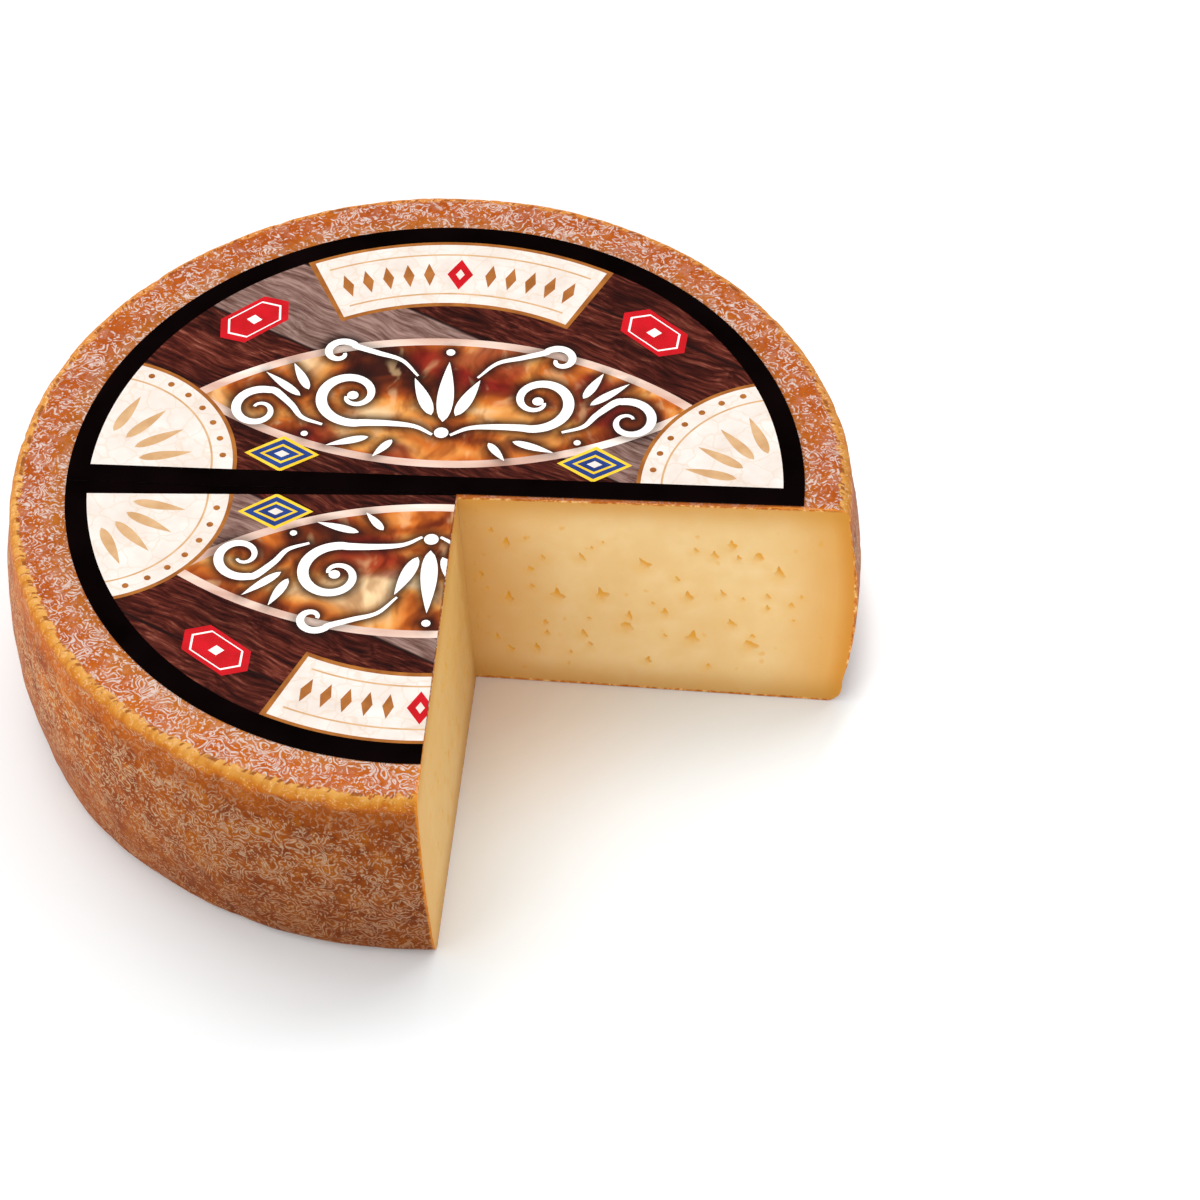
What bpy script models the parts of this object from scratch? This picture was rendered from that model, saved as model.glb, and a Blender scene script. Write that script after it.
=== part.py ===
"""A wheel of raclette cheese with a quarter cut out of it, and the two half-round
paper labels on its top face. Metres, +Z up. The origin is on the wheel's own axis,
at the bottom face. The quarter is missing between +X and -Y."""

import math

import bmesh
import bpy

# The wheel
WHEEL_HEIGHT = 0.0771
LIP_RADIUS = 0.1392  # where the flank meets the rounded top edge
FOOT_RADIUS = 0.1376  # where the flank meets the rounded bottom edge
FLANK_BULGE = 0.0034  # how far the flank swells between the two
LIP_ROUND = (0.0050, 0.0046)  # the top edge's rounding, inwards and downwards
FOOT_ROUND = (0.0045, 0.0046)  # the bottom edge's rounding, inwards and upwards
ROUND_POWER = 1.7  # 2 would be a quarter ellipse, 1 a straight chamfer
SEGMENTS = 144  # a multiple of 4, so that the box is the true diameter
FLANK_STEPS = 12
ROUND_STEPS = 5

# The cut. A knife went in by hand, so both faces lean: each is a ray from the corner
# line, given at the top and at the bottom face.
CORNER_TOP = (0.0093, -0.0041)
CORNER_BOTTOM = (0.0136, -0.0136)
FAR_FACE_ANGLE = (0.0, -2.4)  # degrees about +Z, at the top and at the bottom
NEAR_FACE_ANGLE = (-90.6, -91.3)
CUT_REACH = 0.35
CUT_OVERRUN = 0.02
CUT_LEVELS = 12

# The labels: two half discs whose straight edges meet on a line across the wheel
LABEL_RADIUS = 0.1222
LABEL_CENTRE = (0.0016, -0.0004)
LABEL_SEAM_Y = -0.0029
PAPER = 0.0003
GAP = 0.0003  # between two labels, and under them
LABEL_EDGE_INSET = 0.0003  # how far the sliced label stays inside the cut's edge
ARC_STEP = math.radians(2.5)


def between(pair, share):
    """Linear between a value at the top (share 1) and a value at the bottom (share 0)."""
    top, bottom = pair
    return bottom + (top - bottom) * share


def flank_radius(share):
    """The flank's radius at a share of its height, foot to lip."""
    straight = FOOT_RADIUS + (LIP_RADIUS - FOOT_RADIUS) * share
    return straight + FLANK_BULGE * math.sin(math.pi * share)


def rounding(turn):
    """A quarter of a superellipse: (share outwards, share away from the flank) at an angle."""
    power = 2 / ROUND_POWER
    return max(math.cos(turn), 0.0) ** power, max(math.sin(turn), 0.0) ** power


def rim_profile():
    """(radius, z) down the wheel's outline, from the middle of the top to the middle of the bottom."""
    points = [(0.0, WHEEL_HEIGHT)]
    inwards, down = LIP_ROUND
    lip_z = WHEEL_HEIGHT - down
    foot_z = FOOT_ROUND[1]
    for step in range(ROUND_STEPS):
        out, up = rounding(math.pi / 2 * (1 - step / ROUND_STEPS))
        points.append((LIP_RADIUS - inwards * (1 - out), lip_z + down * up))
    for step in range(FLANK_STEPS + 1):
        share = 1 - step / FLANK_STEPS
        points.append((flank_radius(share), foot_z + (lip_z - foot_z) * share))
    inwards, rise = FOOT_ROUND
    for step in range(1, ROUND_STEPS + 1):
        out, down = rounding(math.pi / 2 * step / ROUND_STEPS)
        points.append((FOOT_RADIUS - inwards * (1 - out), foot_z - rise * down))
    points.append((0.0, 0.0))
    return points


def new_object(name, mesh_builder, material):
    mesh = bpy.data.meshes.new(name)
    bm = bmesh.new()
    mesh_builder(bm)
    bmesh.ops.recalc_face_normals(bm, faces=bm.faces)
    bm.to_mesh(mesh)
    bm.free()
    if material is not None:
        mesh.materials.append(material)
    obj = bpy.data.objects.new(name, mesh)
    bpy.context.scene.collection.objects.link(obj)
    return obj


def material(name, colour, roughness):
    made = bpy.data.materials.new(name)
    made.use_nodes = True
    shader = made.node_tree.nodes["Principled BSDF"]
    shader.inputs["Base Color"].default_value = (*colour, 1.0)
    shader.inputs["Roughness"].default_value = roughness
    shader.inputs["Metallic"].default_value = 0.0
    made.diffuse_color = (*colour, 1.0)
    return made


def build_wheel(bm):
    """The whole wheel, turned about Z."""
    verts = [bm.verts.new((r, 0.0, z)) for r, z in rim_profile()]
    edges = [bm.edges.new(pair) for pair in zip(verts, verts[1:])]
    bmesh.ops.spin(
        bm,
        geom=verts + edges,
        cent=(0, 0, 0),
        axis=(0, 0, 1),
        angle=2 * math.pi,
        steps=SEGMENTS,
        use_duplicate=False,
    )
    bmesh.ops.remove_doubles(bm, verts=bm.verts, dist=1e-6)


def build_missing_quarter(bm):
    """What the knife took: a wedge about a leaning corner line, stacked in levels."""
    rings = []
    for level in range(CUT_LEVELS + 1):
        z = -CUT_OVERRUN + (WHEEL_HEIGHT + 2 * CUT_OVERRUN) * level / CUT_LEVELS
        share = z / WHEEL_HEIGHT
        corner_x = between((CORNER_TOP[0], CORNER_BOTTOM[0]), share)
        corner_y = between((CORNER_TOP[1], CORNER_BOTTOM[1]), share)
        far = math.radians(between(FAR_FACE_ANGLE, share))
        near = math.radians(between(NEAR_FACE_ANGLE, share))
        far_way = (CUT_REACH * math.cos(far), CUT_REACH * math.sin(far))
        near_way = (CUT_REACH * math.cos(near), CUT_REACH * math.sin(near))
        outline = [
            (corner_x, corner_y),
            (corner_x + near_way[0], corner_y + near_way[1]),
            (
                corner_x + near_way[0] + far_way[0],
                corner_y + near_way[1] + far_way[1],
            ),
            (corner_x + far_way[0], corner_y + far_way[1]),
        ]
        rings.append([bm.verts.new((x, y, z)) for x, y in outline])
    bm.faces.new(rings[0])
    bm.faces.new(rings[-1])
    for low, high in zip(rings, rings[1:]):
        for i in range(4):
            j = (i + 1) % 4
            bm.faces.new((low[i], low[j], high[j], high[i]))


def arc(start, end):
    """Points on the labels' common circle, from one angle to another."""
    steps = max(2, math.ceil(abs(end - start) / ARC_STEP))
    return [
        (
            LABEL_CENTRE[0] + LABEL_RADIUS * math.cos(start + (end - start) * i / steps),
            LABEL_CENTRE[1] + LABEL_RADIUS * math.sin(start + (end - start) * i / steps),
        )
        for i in range(steps + 1)
    ]


def far_label_outline():
    """The whole half disc, on the far side of the seam."""
    rise = math.asin((LABEL_SEAM_Y - LABEL_CENTRE[1]) / LABEL_RADIUS)
    return arc(rise, math.pi - rise)


def near_label_outline():
    """What the knife left of the other half disc: the seam, the arc and the slice."""
    top_y = LABEL_SEAM_Y - GAP
    rise = math.asin((top_y - LABEL_CENTRE[1]) / LABEL_RADIUS)
    slope = math.tan(math.radians(NEAR_FACE_ANGLE[0] + 90))

    def slice_x(y):
        return CORNER_TOP[0] - LABEL_EDGE_INSET - (y - CORNER_TOP[1]) * slope

    y = LABEL_CENTRE[1] - LABEL_RADIUS
    for _ in range(8):  # where the slice crosses the circle
        across = slice_x(y) - LABEL_CENTRE[0]
        y = LABEL_CENTRE[1] - math.sqrt(LABEL_RADIUS**2 - across**2)
    last = math.atan2(y - LABEL_CENTRE[1], slice_x(y) - LABEL_CENTRE[0])
    return [(slice_x(top_y), top_y)] + arc(-math.pi - rise, last)


def build_label(outline):
    def build(bm):
        low = WHEEL_HEIGHT + GAP
        face = bm.faces.new([bm.verts.new((x, y, low)) for x, y in outline])
        lifted = bmesh.ops.extrude_face_region(bm, geom=[face])["geom"]
        bmesh.ops.translate(
            bm,
            vec=(0, 0, PAPER),
            verts=[v for v in lifted if isinstance(v, bmesh.types.BMVert)],
        )

    return build


def main():
    for obj in list(bpy.data.objects):
        bpy.data.objects.remove(obj, do_unlink=True)

    rind = material("washed_rind", (0.62, 0.26, 0.08), 0.62)
    print_dark = material("printed_paper_far", (0.07, 0.025, 0.02), 0.35)
    print_dark_near = material("printed_paper_near", (0.07, 0.025, 0.02), 0.35)

    wheel = new_object("cheese_wheel", build_wheel, rind)
    quarter = new_object("missing_quarter_cutter", build_missing_quarter, None)
    quarter.hide_render = True
    quarter.display_type = "WIRE"
    cut = wheel.modifiers.new("missing quarter", "BOOLEAN")
    cut.operation = "DIFFERENCE"
    cut.solver = "EXACT"
    cut.object = quarter
    wheel.data.shade_smooth()
    wheel.data.set_sharp_from_angle(angle=math.radians(40))

    new_object("label_far_half", build_label(far_label_outline()), print_dark)
    new_object("label_near_rest", build_label(near_label_outline()), print_dark_near)


main()
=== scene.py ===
"""The looks of a cut raclette wheel: its orange rind under fine pale mould, the scaly
lip round its top edge, the eyes in its cut faces and the printed paper on its top.
Metres, +Z up, the origin on the wheel's own axis at its bottom face."""

import math
import random

import bmesh
import bpy
import numpy as np
from mathutils import Matrix, Vector
from mathutils.geometry import delaunay_2d_cdt


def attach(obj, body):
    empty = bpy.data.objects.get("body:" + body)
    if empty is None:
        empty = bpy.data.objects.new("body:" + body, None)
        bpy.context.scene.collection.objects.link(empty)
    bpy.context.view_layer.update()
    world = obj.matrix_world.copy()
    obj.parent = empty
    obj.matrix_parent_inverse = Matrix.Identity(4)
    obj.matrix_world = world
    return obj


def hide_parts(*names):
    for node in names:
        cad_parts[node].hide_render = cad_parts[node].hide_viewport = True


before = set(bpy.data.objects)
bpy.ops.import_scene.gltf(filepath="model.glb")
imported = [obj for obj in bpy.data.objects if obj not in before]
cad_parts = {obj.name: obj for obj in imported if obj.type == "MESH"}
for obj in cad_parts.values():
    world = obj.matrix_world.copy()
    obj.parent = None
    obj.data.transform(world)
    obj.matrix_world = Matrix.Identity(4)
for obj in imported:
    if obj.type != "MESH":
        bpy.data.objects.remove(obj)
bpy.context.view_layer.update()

# ---------------------------------------------------------------- the wheel's own sizes
WHEEL_HEIGHT = 0.0771
LIP_RADIUS = 0.1392
FOOT_RADIUS = 0.1376
FLANK_BULGE = 0.0034
LIP_ROUND = (0.0050, 0.0046)
FOOT_ROUND = (0.0045, 0.0046)
ROUND_POWER = 1.7
CORNER_TOP = np.array((0.0093, -0.0041))
CORNER_BOTTOM = np.array((0.0136, -0.0136))
FAR_FACE_ANGLE = (0.0, -2.4)
NEAR_FACE_ANGLE = (-90.6, -91.3)
LABEL_RADIUS = 0.1222
LABEL_CENTRE = (0.0016, -0.0004)
LABEL_SEAM_Y = -0.0029
LABEL_EDGE_INSET = 0.0003
GAP = 0.0003

MM = 0.001
rng = np.random.default_rng(41)


# ---------------------------------------------------------------- helpers: noise on points
def _hash(ix, iy, iz, seed):
    h = (
        ix.astype(np.int64) * 374761393
        + iy.astype(np.int64) * 668265263
        + iz.astype(np.int64) * 2147483647
        + seed * 974634777
    ) & 0xFFFFFFFF
    h = ((h ^ (h >> 13)) * 1274126177) & 0xFFFFFFFF
    h = (h ^ (h >> 16)) & 0xFFFFFFFF
    return h / 4294967295.0


def value_noise(points, size, seed):
    """Smooth noise in -1..1 at points (n, 3); size is one feature's length."""
    p = points / size
    base = np.floor(p)
    t = p - base
    t = t * t * t * (t * (t * 6 - 15) + 10)
    base = base.astype(np.int64)
    total = 0.0
    for dx in (0, 1):
        for dy in (0, 1):
            for dz in (0, 1):
                weight = (
                    (t[..., 0] if dx else 1 - t[..., 0])
                    * (t[..., 1] if dy else 1 - t[..., 1])
                    * (t[..., 2] if dz else 1 - t[..., 2])
                )
                total = total + weight * _hash(
                    base[..., 0] + dx, base[..., 1] + dy, base[..., 2] + dz, seed
                )
    return total * 2 - 1


def smooth01(x, low, high):
    t = np.clip((x - low) / (high - low), 0, 1)
    return t * t * (3 - 2 * t)


def inside_polygon(points, polygon):
    """Which points lie inside a closed outline."""
    x, y = points[:, 0], points[:, 1]
    hit = np.zeros(len(points), dtype=bool)
    lo, hi = polygon.min(0), polygon.max(0)
    near = np.flatnonzero((x >= lo[0]) & (x <= hi[0]) & (y >= lo[1]) & (y <= hi[1]))
    if not len(near):
        return hit
    px, py = x[near], y[near]
    odd = np.zeros(len(near), dtype=bool)
    for (x0, y0), (x1, y1) in zip(polygon, np.roll(polygon, -1, 0)):
        if y0 == y1:
            continue
        crosses = (y0 > py) != (y1 > py)
        odd ^= crosses & (px < (x1 - x0) * (py - y0) / (y1 - y0) + x0)
    hit[near] = odd
    return hit


# ---------------------------------------------------------------- helpers: material graphs
def srgb(r, g, b):
    """A colour given as it looks on screen, 0..255, as linear light."""
    out = []
    for c in (r, g, b):
        c /= 255
        out.append(c / 12.92 if c <= 0.04045 else ((c + 0.055) / 1.055) ** 2.4)
    return (*out, 1.0)


class Graph:
    """Short names for the nodes of one material."""

    def __init__(self, name):
        self.mat = bpy.data.materials.new(name)
        self.mat.use_nodes = True
        self.tree = self.mat.node_tree
        self.bsdf = self.tree.nodes["Principled BSDF"]
        self.x = 0

    def node(self, kind, **props):
        n = self.tree.nodes.new(kind)
        self.x -= 60
        n.location = (self.x, (self.x * 37) % 500)
        for key, value in props.items():
            setattr(n, key, value)
        return n

    def put(self, socket, value):
        if isinstance(value, bpy.types.NodeSocket):
            self.tree.links.new(value, socket)
        elif value is not None:
            socket.default_value = value

    def math(self, op, a, b=None, c=None, clamp=False):
        n = self.node("ShaderNodeMath", operation=op, use_clamp=clamp)
        for socket, value in zip(n.inputs, (a, b, c)):
            self.put(socket, value)
        return n.outputs[0]

    def vec(self, op, a, b=None, scale=None):
        n = self.node("ShaderNodeVectorMath", operation=op)
        self.put(n.inputs[0], a)
        self.put(n.inputs[1], b)
        if scale is not None:
            self.put(n.inputs["Scale"], scale)
        return n.outputs["Value"] if op in ("LENGTH", "DOT_PRODUCT", "DISTANCE") else n.outputs[0]

    def place_mm(self, stretch=(1, 1, 1), turn=0.0, shift=(0, 0, 0)):
        """The object's own coordinates in millimetres."""
        coords = self.node("ShaderNodeTexCoord").outputs["Object"]
        n = self.node("ShaderNodeMapping")
        self.put(n.inputs["Vector"], coords)
        n.inputs["Scale"].default_value = (1000 * stretch[0], 1000 * stretch[1], 1000 * stretch[2])
        n.inputs["Rotation"].default_value = (0, 0, turn)
        n.inputs["Location"].default_value = shift
        return n.outputs[0]

    def split(self, vector):
        n = self.node("ShaderNodeSeparateXYZ")
        self.put(n.inputs[0], vector)
        return n.outputs

    def noise(self, at, size, detail=2.0, rough=0.5, twist=0.0):
        n = self.node("ShaderNodeTexNoise")
        self.put(n.inputs["Vector"], at)
        n.inputs["Scale"].default_value = 1 / size
        n.inputs["Detail"].default_value = detail
        n.inputs["Roughness"].default_value = rough
        n.inputs["Distortion"].default_value = twist
        return n.outputs

    def cells(self, at, size, feature="F1", spread=1.0):
        n = self.node("ShaderNodeTexVoronoi", feature=feature)
        self.put(n.inputs["Vector"], at)
        n.inputs["Scale"].default_value = 1 / size
        n.inputs["Randomness"].default_value = spread
        return n.outputs

    def wander(self, at, size, reach, detail=1.0):
        """The place, pushed about by noise."""
        push = self.vec("SUBTRACT", self.noise(at, size, detail)["Color"], (0.5, 0.5, 0.5))
        return self.vec("ADD", at, self.vec("SCALE", push, scale=2 * reach))

    def contour_lines(self, at, size, levels, width, soft, shift, bend):
        """Lines of an even width along the level lines of a wandering field: nested
        loops and arcs. Gives the lines and a slow value that differs from line to line."""
        bent = self.wander(self.vec("ADD", at, shift), size * 1.3, size * bend, 0.0)
        here = self.noise(bent, size, 0.0)["Fac"]
        reach = 0.14 * size
        slopes = self.node("ShaderNodeCombineXYZ")
        for i, way in enumerate(((reach, 0, 0), (0, reach, 0), (0, 0, reach))):
            there = self.noise(self.vec("ADD", bent, way), size, 0.0)["Fac"]
            self.put(slopes.inputs[i], self.math("DIVIDE", self.math("SUBTRACT", there, here), reach))
        slope = slopes.outputs[0]
        up = self.node("ShaderNodeTexCoord").outputs["Normal"]
        off = self.node("ShaderNodeVectorMath", operation="SCALE")
        self.put(off.inputs[0], up)
        self.put(off.inputs["Scale"], self.vec("DOT_PRODUCT", slope, up))
        steep = self.vec("LENGTH", self.vec("SUBTRACT", slope, off.outputs[0]))
        steep = self.math("MAXIMUM", self.math("MULTIPLY", steep, levels), 0.16)
        level = self.math("MULTIPLY", here, levels)
        away = self.math("DIVIDE", self.math("PINGPONG", level, 0.5), steep)
        return self.step(away, width / 2 - soft, width / 2 + soft, 1.0, 0.0), level

    def step(self, x, low, high, a=0.0, b=1.0):
        n = self.node("ShaderNodeMapRange", interpolation_type="SMOOTHSTEP")
        self.put(n.inputs["Value"], x)
        n.inputs["From Min"].default_value = low
        n.inputs["From Max"].default_value = high
        n.inputs["To Min"].default_value = a
        n.inputs["To Max"].default_value = b
        return n.outputs[0]

    def mix(self, share, a, b, blend="MIX"):
        n = self.node("ShaderNodeMix", data_type="RGBA", blend_type=blend)
        self.put(n.inputs["Factor"], share)
        self.put(n.inputs[6], a)
        self.put(n.inputs[7], b)
        return n.outputs[2]

    def ramp(self, x, *stops):
        n = self.node("ShaderNodeValToRGB")
        self.put(n.inputs[0], x)
        marks = n.color_ramp.elements
        while len(marks) < len(stops):
            marks.new(0.5)
        for mark, (place, colour) in zip(marks, stops):
            mark.position = place
            mark.color = colour
        return n.outputs[0]

    def attribute(self, name):
        return self.node("ShaderNodeAttribute", attribute_name=name).outputs["Fac"]

    def bump(self, height, distance, strength=1.0, normal=None):
        n = self.node("ShaderNodeBump")
        self.put(n.inputs["Height"], height)
        n.inputs["Distance"].default_value = distance
        n.inputs["Strength"].default_value = strength
        if normal is not None:
            self.put(n.inputs["Normal"], normal)
        return n.outputs[0]

    def finish(self, colour, roughness, normal=None, **shader):
        self.put(self.bsdf.inputs["Base Color"], colour)
        self.put(self.bsdf.inputs["Roughness"], roughness)
        if normal is not None:
            self.put(self.bsdf.inputs["Normal"], normal)
        for key, value in shader.items():
            self.bsdf.inputs[key.replace("_", " ")].default_value = value
        return self.mat


# ---------------------------------------------------------------- the cheese: its outline
def flank_radius(share):
    straight = FOOT_RADIUS + (LIP_RADIUS - FOOT_RADIUS) * share
    return straight + FLANK_BULGE * np.sin(np.pi * share)


def outline(inner=0.116, inner_low=0.120):
    """(radius, z) from the top face over the lip and the flank to the bottom face."""
    power = 2 / ROUND_POWER
    lip_z = WHEEL_HEIGHT - LIP_ROUND[1]
    foot_z = FOOT_ROUND[1]
    points = [(inner, WHEEL_HEIGHT)]
    for turn in np.linspace(np.pi / 2, 0, 30):
        out = max(math.cos(turn), 0.0) ** power
        up = max(math.sin(turn), 0.0) ** power
        points.append((LIP_RADIUS - LIP_ROUND[0] * (1 - out), lip_z + LIP_ROUND[1] * up))
    for share in np.linspace(1, 0, 90)[1:]:
        points.append((flank_radius(share), foot_z + (lip_z - foot_z) * share))
    for turn in np.linspace(0, np.pi / 2, 24)[1:]:
        out = max(math.cos(turn), 0.0) ** power
        down = max(math.sin(turn), 0.0) ** power
        points.append((FOOT_RADIUS - FOOT_ROUND[0] * (1 - out), foot_z - FOOT_ROUND[1] * down))
    points.append((inner_low, 0.0))
    return np.array(points)


PATH = outline()
PATH_AT = np.concatenate(([0], np.cumsum(np.hypot(*np.diff(PATH, axis=0).T))))
LIP_START = PATH_AT[1]  # where the flat top begins to round over
LIP_END = PATH_AT[30]
FOOT_START = PATH_AT[30 + 89]
FOOT_END = PATH_AT[-2]
BAND = (LIP_START + 1.5 * MM, LIP_END + 0.5 * MM)  # the yellow, scaly lip


def path_rows():
    """Distances along the outline at which the rind has a row of points."""
    rows = list(np.arange(0, LIP_START - 1.0 * MM, 2.1 * MM))
    rows += list(np.arange(LIP_START - 0.6 * MM, LIP_END + 1.6 * MM, 0.46 * MM))
    rows += list(np.arange(rows[-1] + 1.2 * MM, FOOT_START - 1.0 * MM, 1.75 * MM))
    rows += list(np.linspace(FOOT_START, FOOT_END, 7))
    rows += [FOOT_END + 5 * MM, PATH_AT[-1]]
    return np.array(rows)


def corner_at(z):
    share = (z / WHEEL_HEIGHT)[..., None]
    return CORNER_BOTTOM + (CORNER_TOP - CORNER_BOTTOM) * share


def face_way(z, angles):
    share = z / WHEEL_HEIGHT
    turn = np.radians(angles[1] + (angles[0] - angles[1]) * share)
    return np.stack((np.cos(turn), np.sin(turn)), axis=-1)


def reach(radius, z, angles):
    """How far from the corner line a cut face meets the wheel's circle."""
    c, way = corner_at(z), face_way(z, angles)
    along = (c * way).sum(-1)
    return -along + np.sqrt(along**2 - (c**2).sum(-1) + radius**2)


def on_wheel(radius, z, share):
    """Points on the wheel at a radius and height, from the far face (share 0) the long
    way round to the near face (share 1)."""
    ends = []
    for angles in (FAR_FACE_ANGLE, NEAR_FACE_ANGLE):
        u = reach(radius, z, angles)
        point = corner_at(z) + face_way(z, angles) * u[..., None]
        ends.append(np.arctan2(point[..., 1], point[..., 0]))
    far, near = ends
    near = np.where(near < far, near + 2 * np.pi, near)
    turn = far + (near - far) * share
    return np.stack((radius * np.cos(turn), radius * np.sin(turn), z), axis=-1)


ARC = 1.5 * np.pi * 0.1395  # the rind's length along the lip


def scale_marks():
    """Where one scale of the lip ends and the next begins, along the lip."""
    marks = [2.0 * MM]
    while marks[-1] < ARC - 4 * MM:
        marks.append(marks[-1] + rng.uniform(4.4, 8.2) * MM)
    return np.array(marks[:-1])


MARKS = scale_marks()
MARK_DEPTH = rng.uniform(0.55, 1.15, len(MARKS) + 1)
NICK_DEPTH = np.where(rng.random(len(MARKS)) < 0.62, rng.uniform(0.35, 1.2, len(MARKS)), 0.0)
NICK_PLACE = rng.uniform(0.0, 0.38, len(MARKS))
NICK_SIZE = rng.uniform(0.35, 0.85, len(MARKS)) * MM


def column_shares():
    base = np.linspace(0, ARC, 470)
    extra = (MARKS[:, None] + np.array((-0.5, -0.16, 0.16, 0.55)) * MM).ravel()
    extra = extra[(extra > 0.6 * MM) & (extra < ARC - 0.6 * MM)]
    far_from_extra = np.abs(base[:, None] - extra[None, :]).min(1) > 0.28 * MM
    far_from_extra[[0, -1]] = True
    edge = np.array((0.5, 1.1)) * MM
    every = np.concatenate((base[far_from_extra], extra, edge, ARC - edge))
    every = np.unique(np.round(every, 7))
    keep = np.concatenate(([True], np.diff(every) > 0.12 * MM))
    keep[-1] = True
    return every[keep] / ARC


def build_cheese():
    shares = column_shares()
    rows = path_rows()
    radius = np.interp(rows, PATH_AT, PATH[:, 0])
    height = np.interp(rows, PATH_AT, PATH[:, 1])
    # outward direction at each row
    ahead = np.interp(rows + 0.25 * MM, PATH_AT, PATH[:, 0]), np.interp(rows + 0.25 * MM, PATH_AT, PATH[:, 1])
    behind = np.interp(rows - 0.25 * MM, PATH_AT, PATH[:, 0]), np.interp(rows - 0.25 * MM, PATH_AT, PATH[:, 1])
    run = np.stack((ahead[0] - behind[0], ahead[1] - behind[1]), axis=-1)
    run /= np.linalg.norm(run, axis=1)[:, None]
    out_r, out_z = -run[:, 1], run[:, 0]

    n_rows, n_cols = len(rows), len(shares)
    R = np.repeat(radius[:, None], n_cols, 1)
    Z = np.repeat(height[:, None], n_cols, 1)
    S = np.repeat(shares[None, :], n_rows, 0)
    A = np.repeat(rows[:, None], n_cols, 1)
    place = on_wheel(R, Z, S)

    # the lip's band of scales
    v = (A - BAND[0]) / (BAND[1] - BAND[0])
    inside = np.clip(v, 0, 1)
    window = np.where((v > 0) & (v < 1), np.sin(np.pi * inside) ** 0.75, 0)
    along = S * ARC
    bowed = along - 1.9 * MM * (2 * inside - 1) ** 2
    which = np.clip(np.searchsorted(MARKS, bowed.ravel()).reshape(bowed.shape), 0, len(MARKS))
    starts = np.concatenate(([-3 * MM], MARKS))[which]
    ends = np.concatenate((MARKS, [ARC + 3 * MM]))[which]
    into = bowed - starts
    length = ends - starts
    depth = MARK_DEPTH[which]
    scale = (1 - np.exp(-np.maximum(into, 0) / (0.75 * MM))) * (1 - 0.45 * into / length)
    lip = window * (0.36 + 0.26 * depth * (scale - 0.62)) * MM
    lip += -0.16 * MM * np.exp(-(((A - BAND[0] + 0.2 * MM) / (0.8 * MM)) ** 2))
    crease = np.exp(-np.maximum(into, 0) / (0.42 * MM)) * window * depth
    crease = np.maximum(crease, np.exp(-np.maximum(length - into, 0) / (0.16 * MM)) * window * depth * 0.7)

    # the scales stand out most on the wheel's left and near left
    share_of_arc = shares
    scaly = 0.30 + 0.70 * smooth01(share_of_arc, 0.52, 0.66) * (1 - smooth01(share_of_arc, 0.84, 0.95))
    crease = crease * (0.45 + 0.55 * scaly[None, :])

    # small dark nicks on the lip's inner side
    nick = np.zeros_like(R)
    for at, deep, spot, size in zip(MARKS, NICK_DEPTH, NICK_PLACE, NICK_SIZE):
        if deep == 0:
            continue
        hot = np.abs(shares * ARC - at) < 2 * MM
        da = (A[:, hot] - (BAND[0] + spot * (BAND[1] - BAND[0]))) / size
        ds = (along[:, hot] - at) / (0.42 * MM)
        nick[:, hot] = np.maximum(nick[:, hot], deep * np.exp(-(da**2 + ds**2)))
    # the rind's own unevenness
    side = smooth01(A, LIP_START, LIP_END)
    under = 1 - smooth01(A, FOOT_START, FOOT_END)
    top_ring = 1 - smooth01(A, LIP_START - 1 * MM, LIP_START + 2 * MM)
    wavy = (
        0.42 * value_noise(place, 0.030, 3)
        + 0.22 * value_noise(place, 0.011, 5)
        + 0.13 * value_noise(place, 0.0047, 7)
    )
    edge = np.exp(-np.minimum(along, ARC - along) / (2.2 * MM))
    fine = (0.05 + 0.20 * edge) * value_noise(place, 0.0026, 11) + 0.05 * value_noise(place, 0.0016, 13)
    clear_of_label = smooth01(R, LABEL_RADIUS + 0.0022, LABEL_RADIUS + 0.0045)
    lift = side * under * (wavy + fine) * MM + lip - 0.30 * nick * MM
    lift += top_ring * clear_of_label * (
        0.16 * value_noise(place, 0.007, 17) + 0.12 * value_noise(place, 0.0031, 19) - 0.08
    ) * MM
    # pits and dimples in the flank
    dimple = np.maximum(0, value_noise(place, 0.0062, 23) - 0.45)
    lift -= side * under * dimple * 1.1 * MM
    R2 = R + out_r[:, None] * lift
    Z2 = np.clip(Z + out_z[:, None] * lift, 0, None)
    Z2 = np.where(A > FOOT_END - 1e-6, 0.0, Z2)
    grid = on_wheel(R2, Z2, S)

    # inner rings under the labels and on the bottom face
    def inner(radii, z, fractions):
        out = []
        for r in radii:
            out.append(on_wheel(np.full(n_cols, r), np.full(n_cols, z), shares))
        ring = on_wheel(np.full(n_cols, radii[-1]), np.full(n_cols, z), shares)
        corner = np.array((*(corner_at(np.array(z))), z))
        for f in fractions:
            out.append(corner + (ring - corner) * f)
        return out, corner

    top_rings, corner_top = inner((0.100, 0.070, 0.040), WHEEL_HEIGHT, (0.5,))
    low_rings, corner_low = inner((0.090, 0.050), 0.0, (0.5,))
    rings = [*top_rings[::-1], *grid, *low_rings]
    n_top = len(top_rings)

    verts = [corner_top]
    index = []
    for ring in rings:
        index.append(np.arange(len(verts), len(verts) + n_cols))
        verts.extend(ring)
    last = len(verts)
    verts.append(corner_low)
    n_rind = len(verts)

    zero = np.zeros(n_cols)
    band_mask = smooth01(v, -0.16, 0.14) * (1 - smooth01(v, 0.84, 1.16))

    def spread(matrix):
        return np.concatenate(
            ([0.0], *([zero] * n_top), *matrix, *([zero] * len(low_rings)), [0.0])
        )

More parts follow.
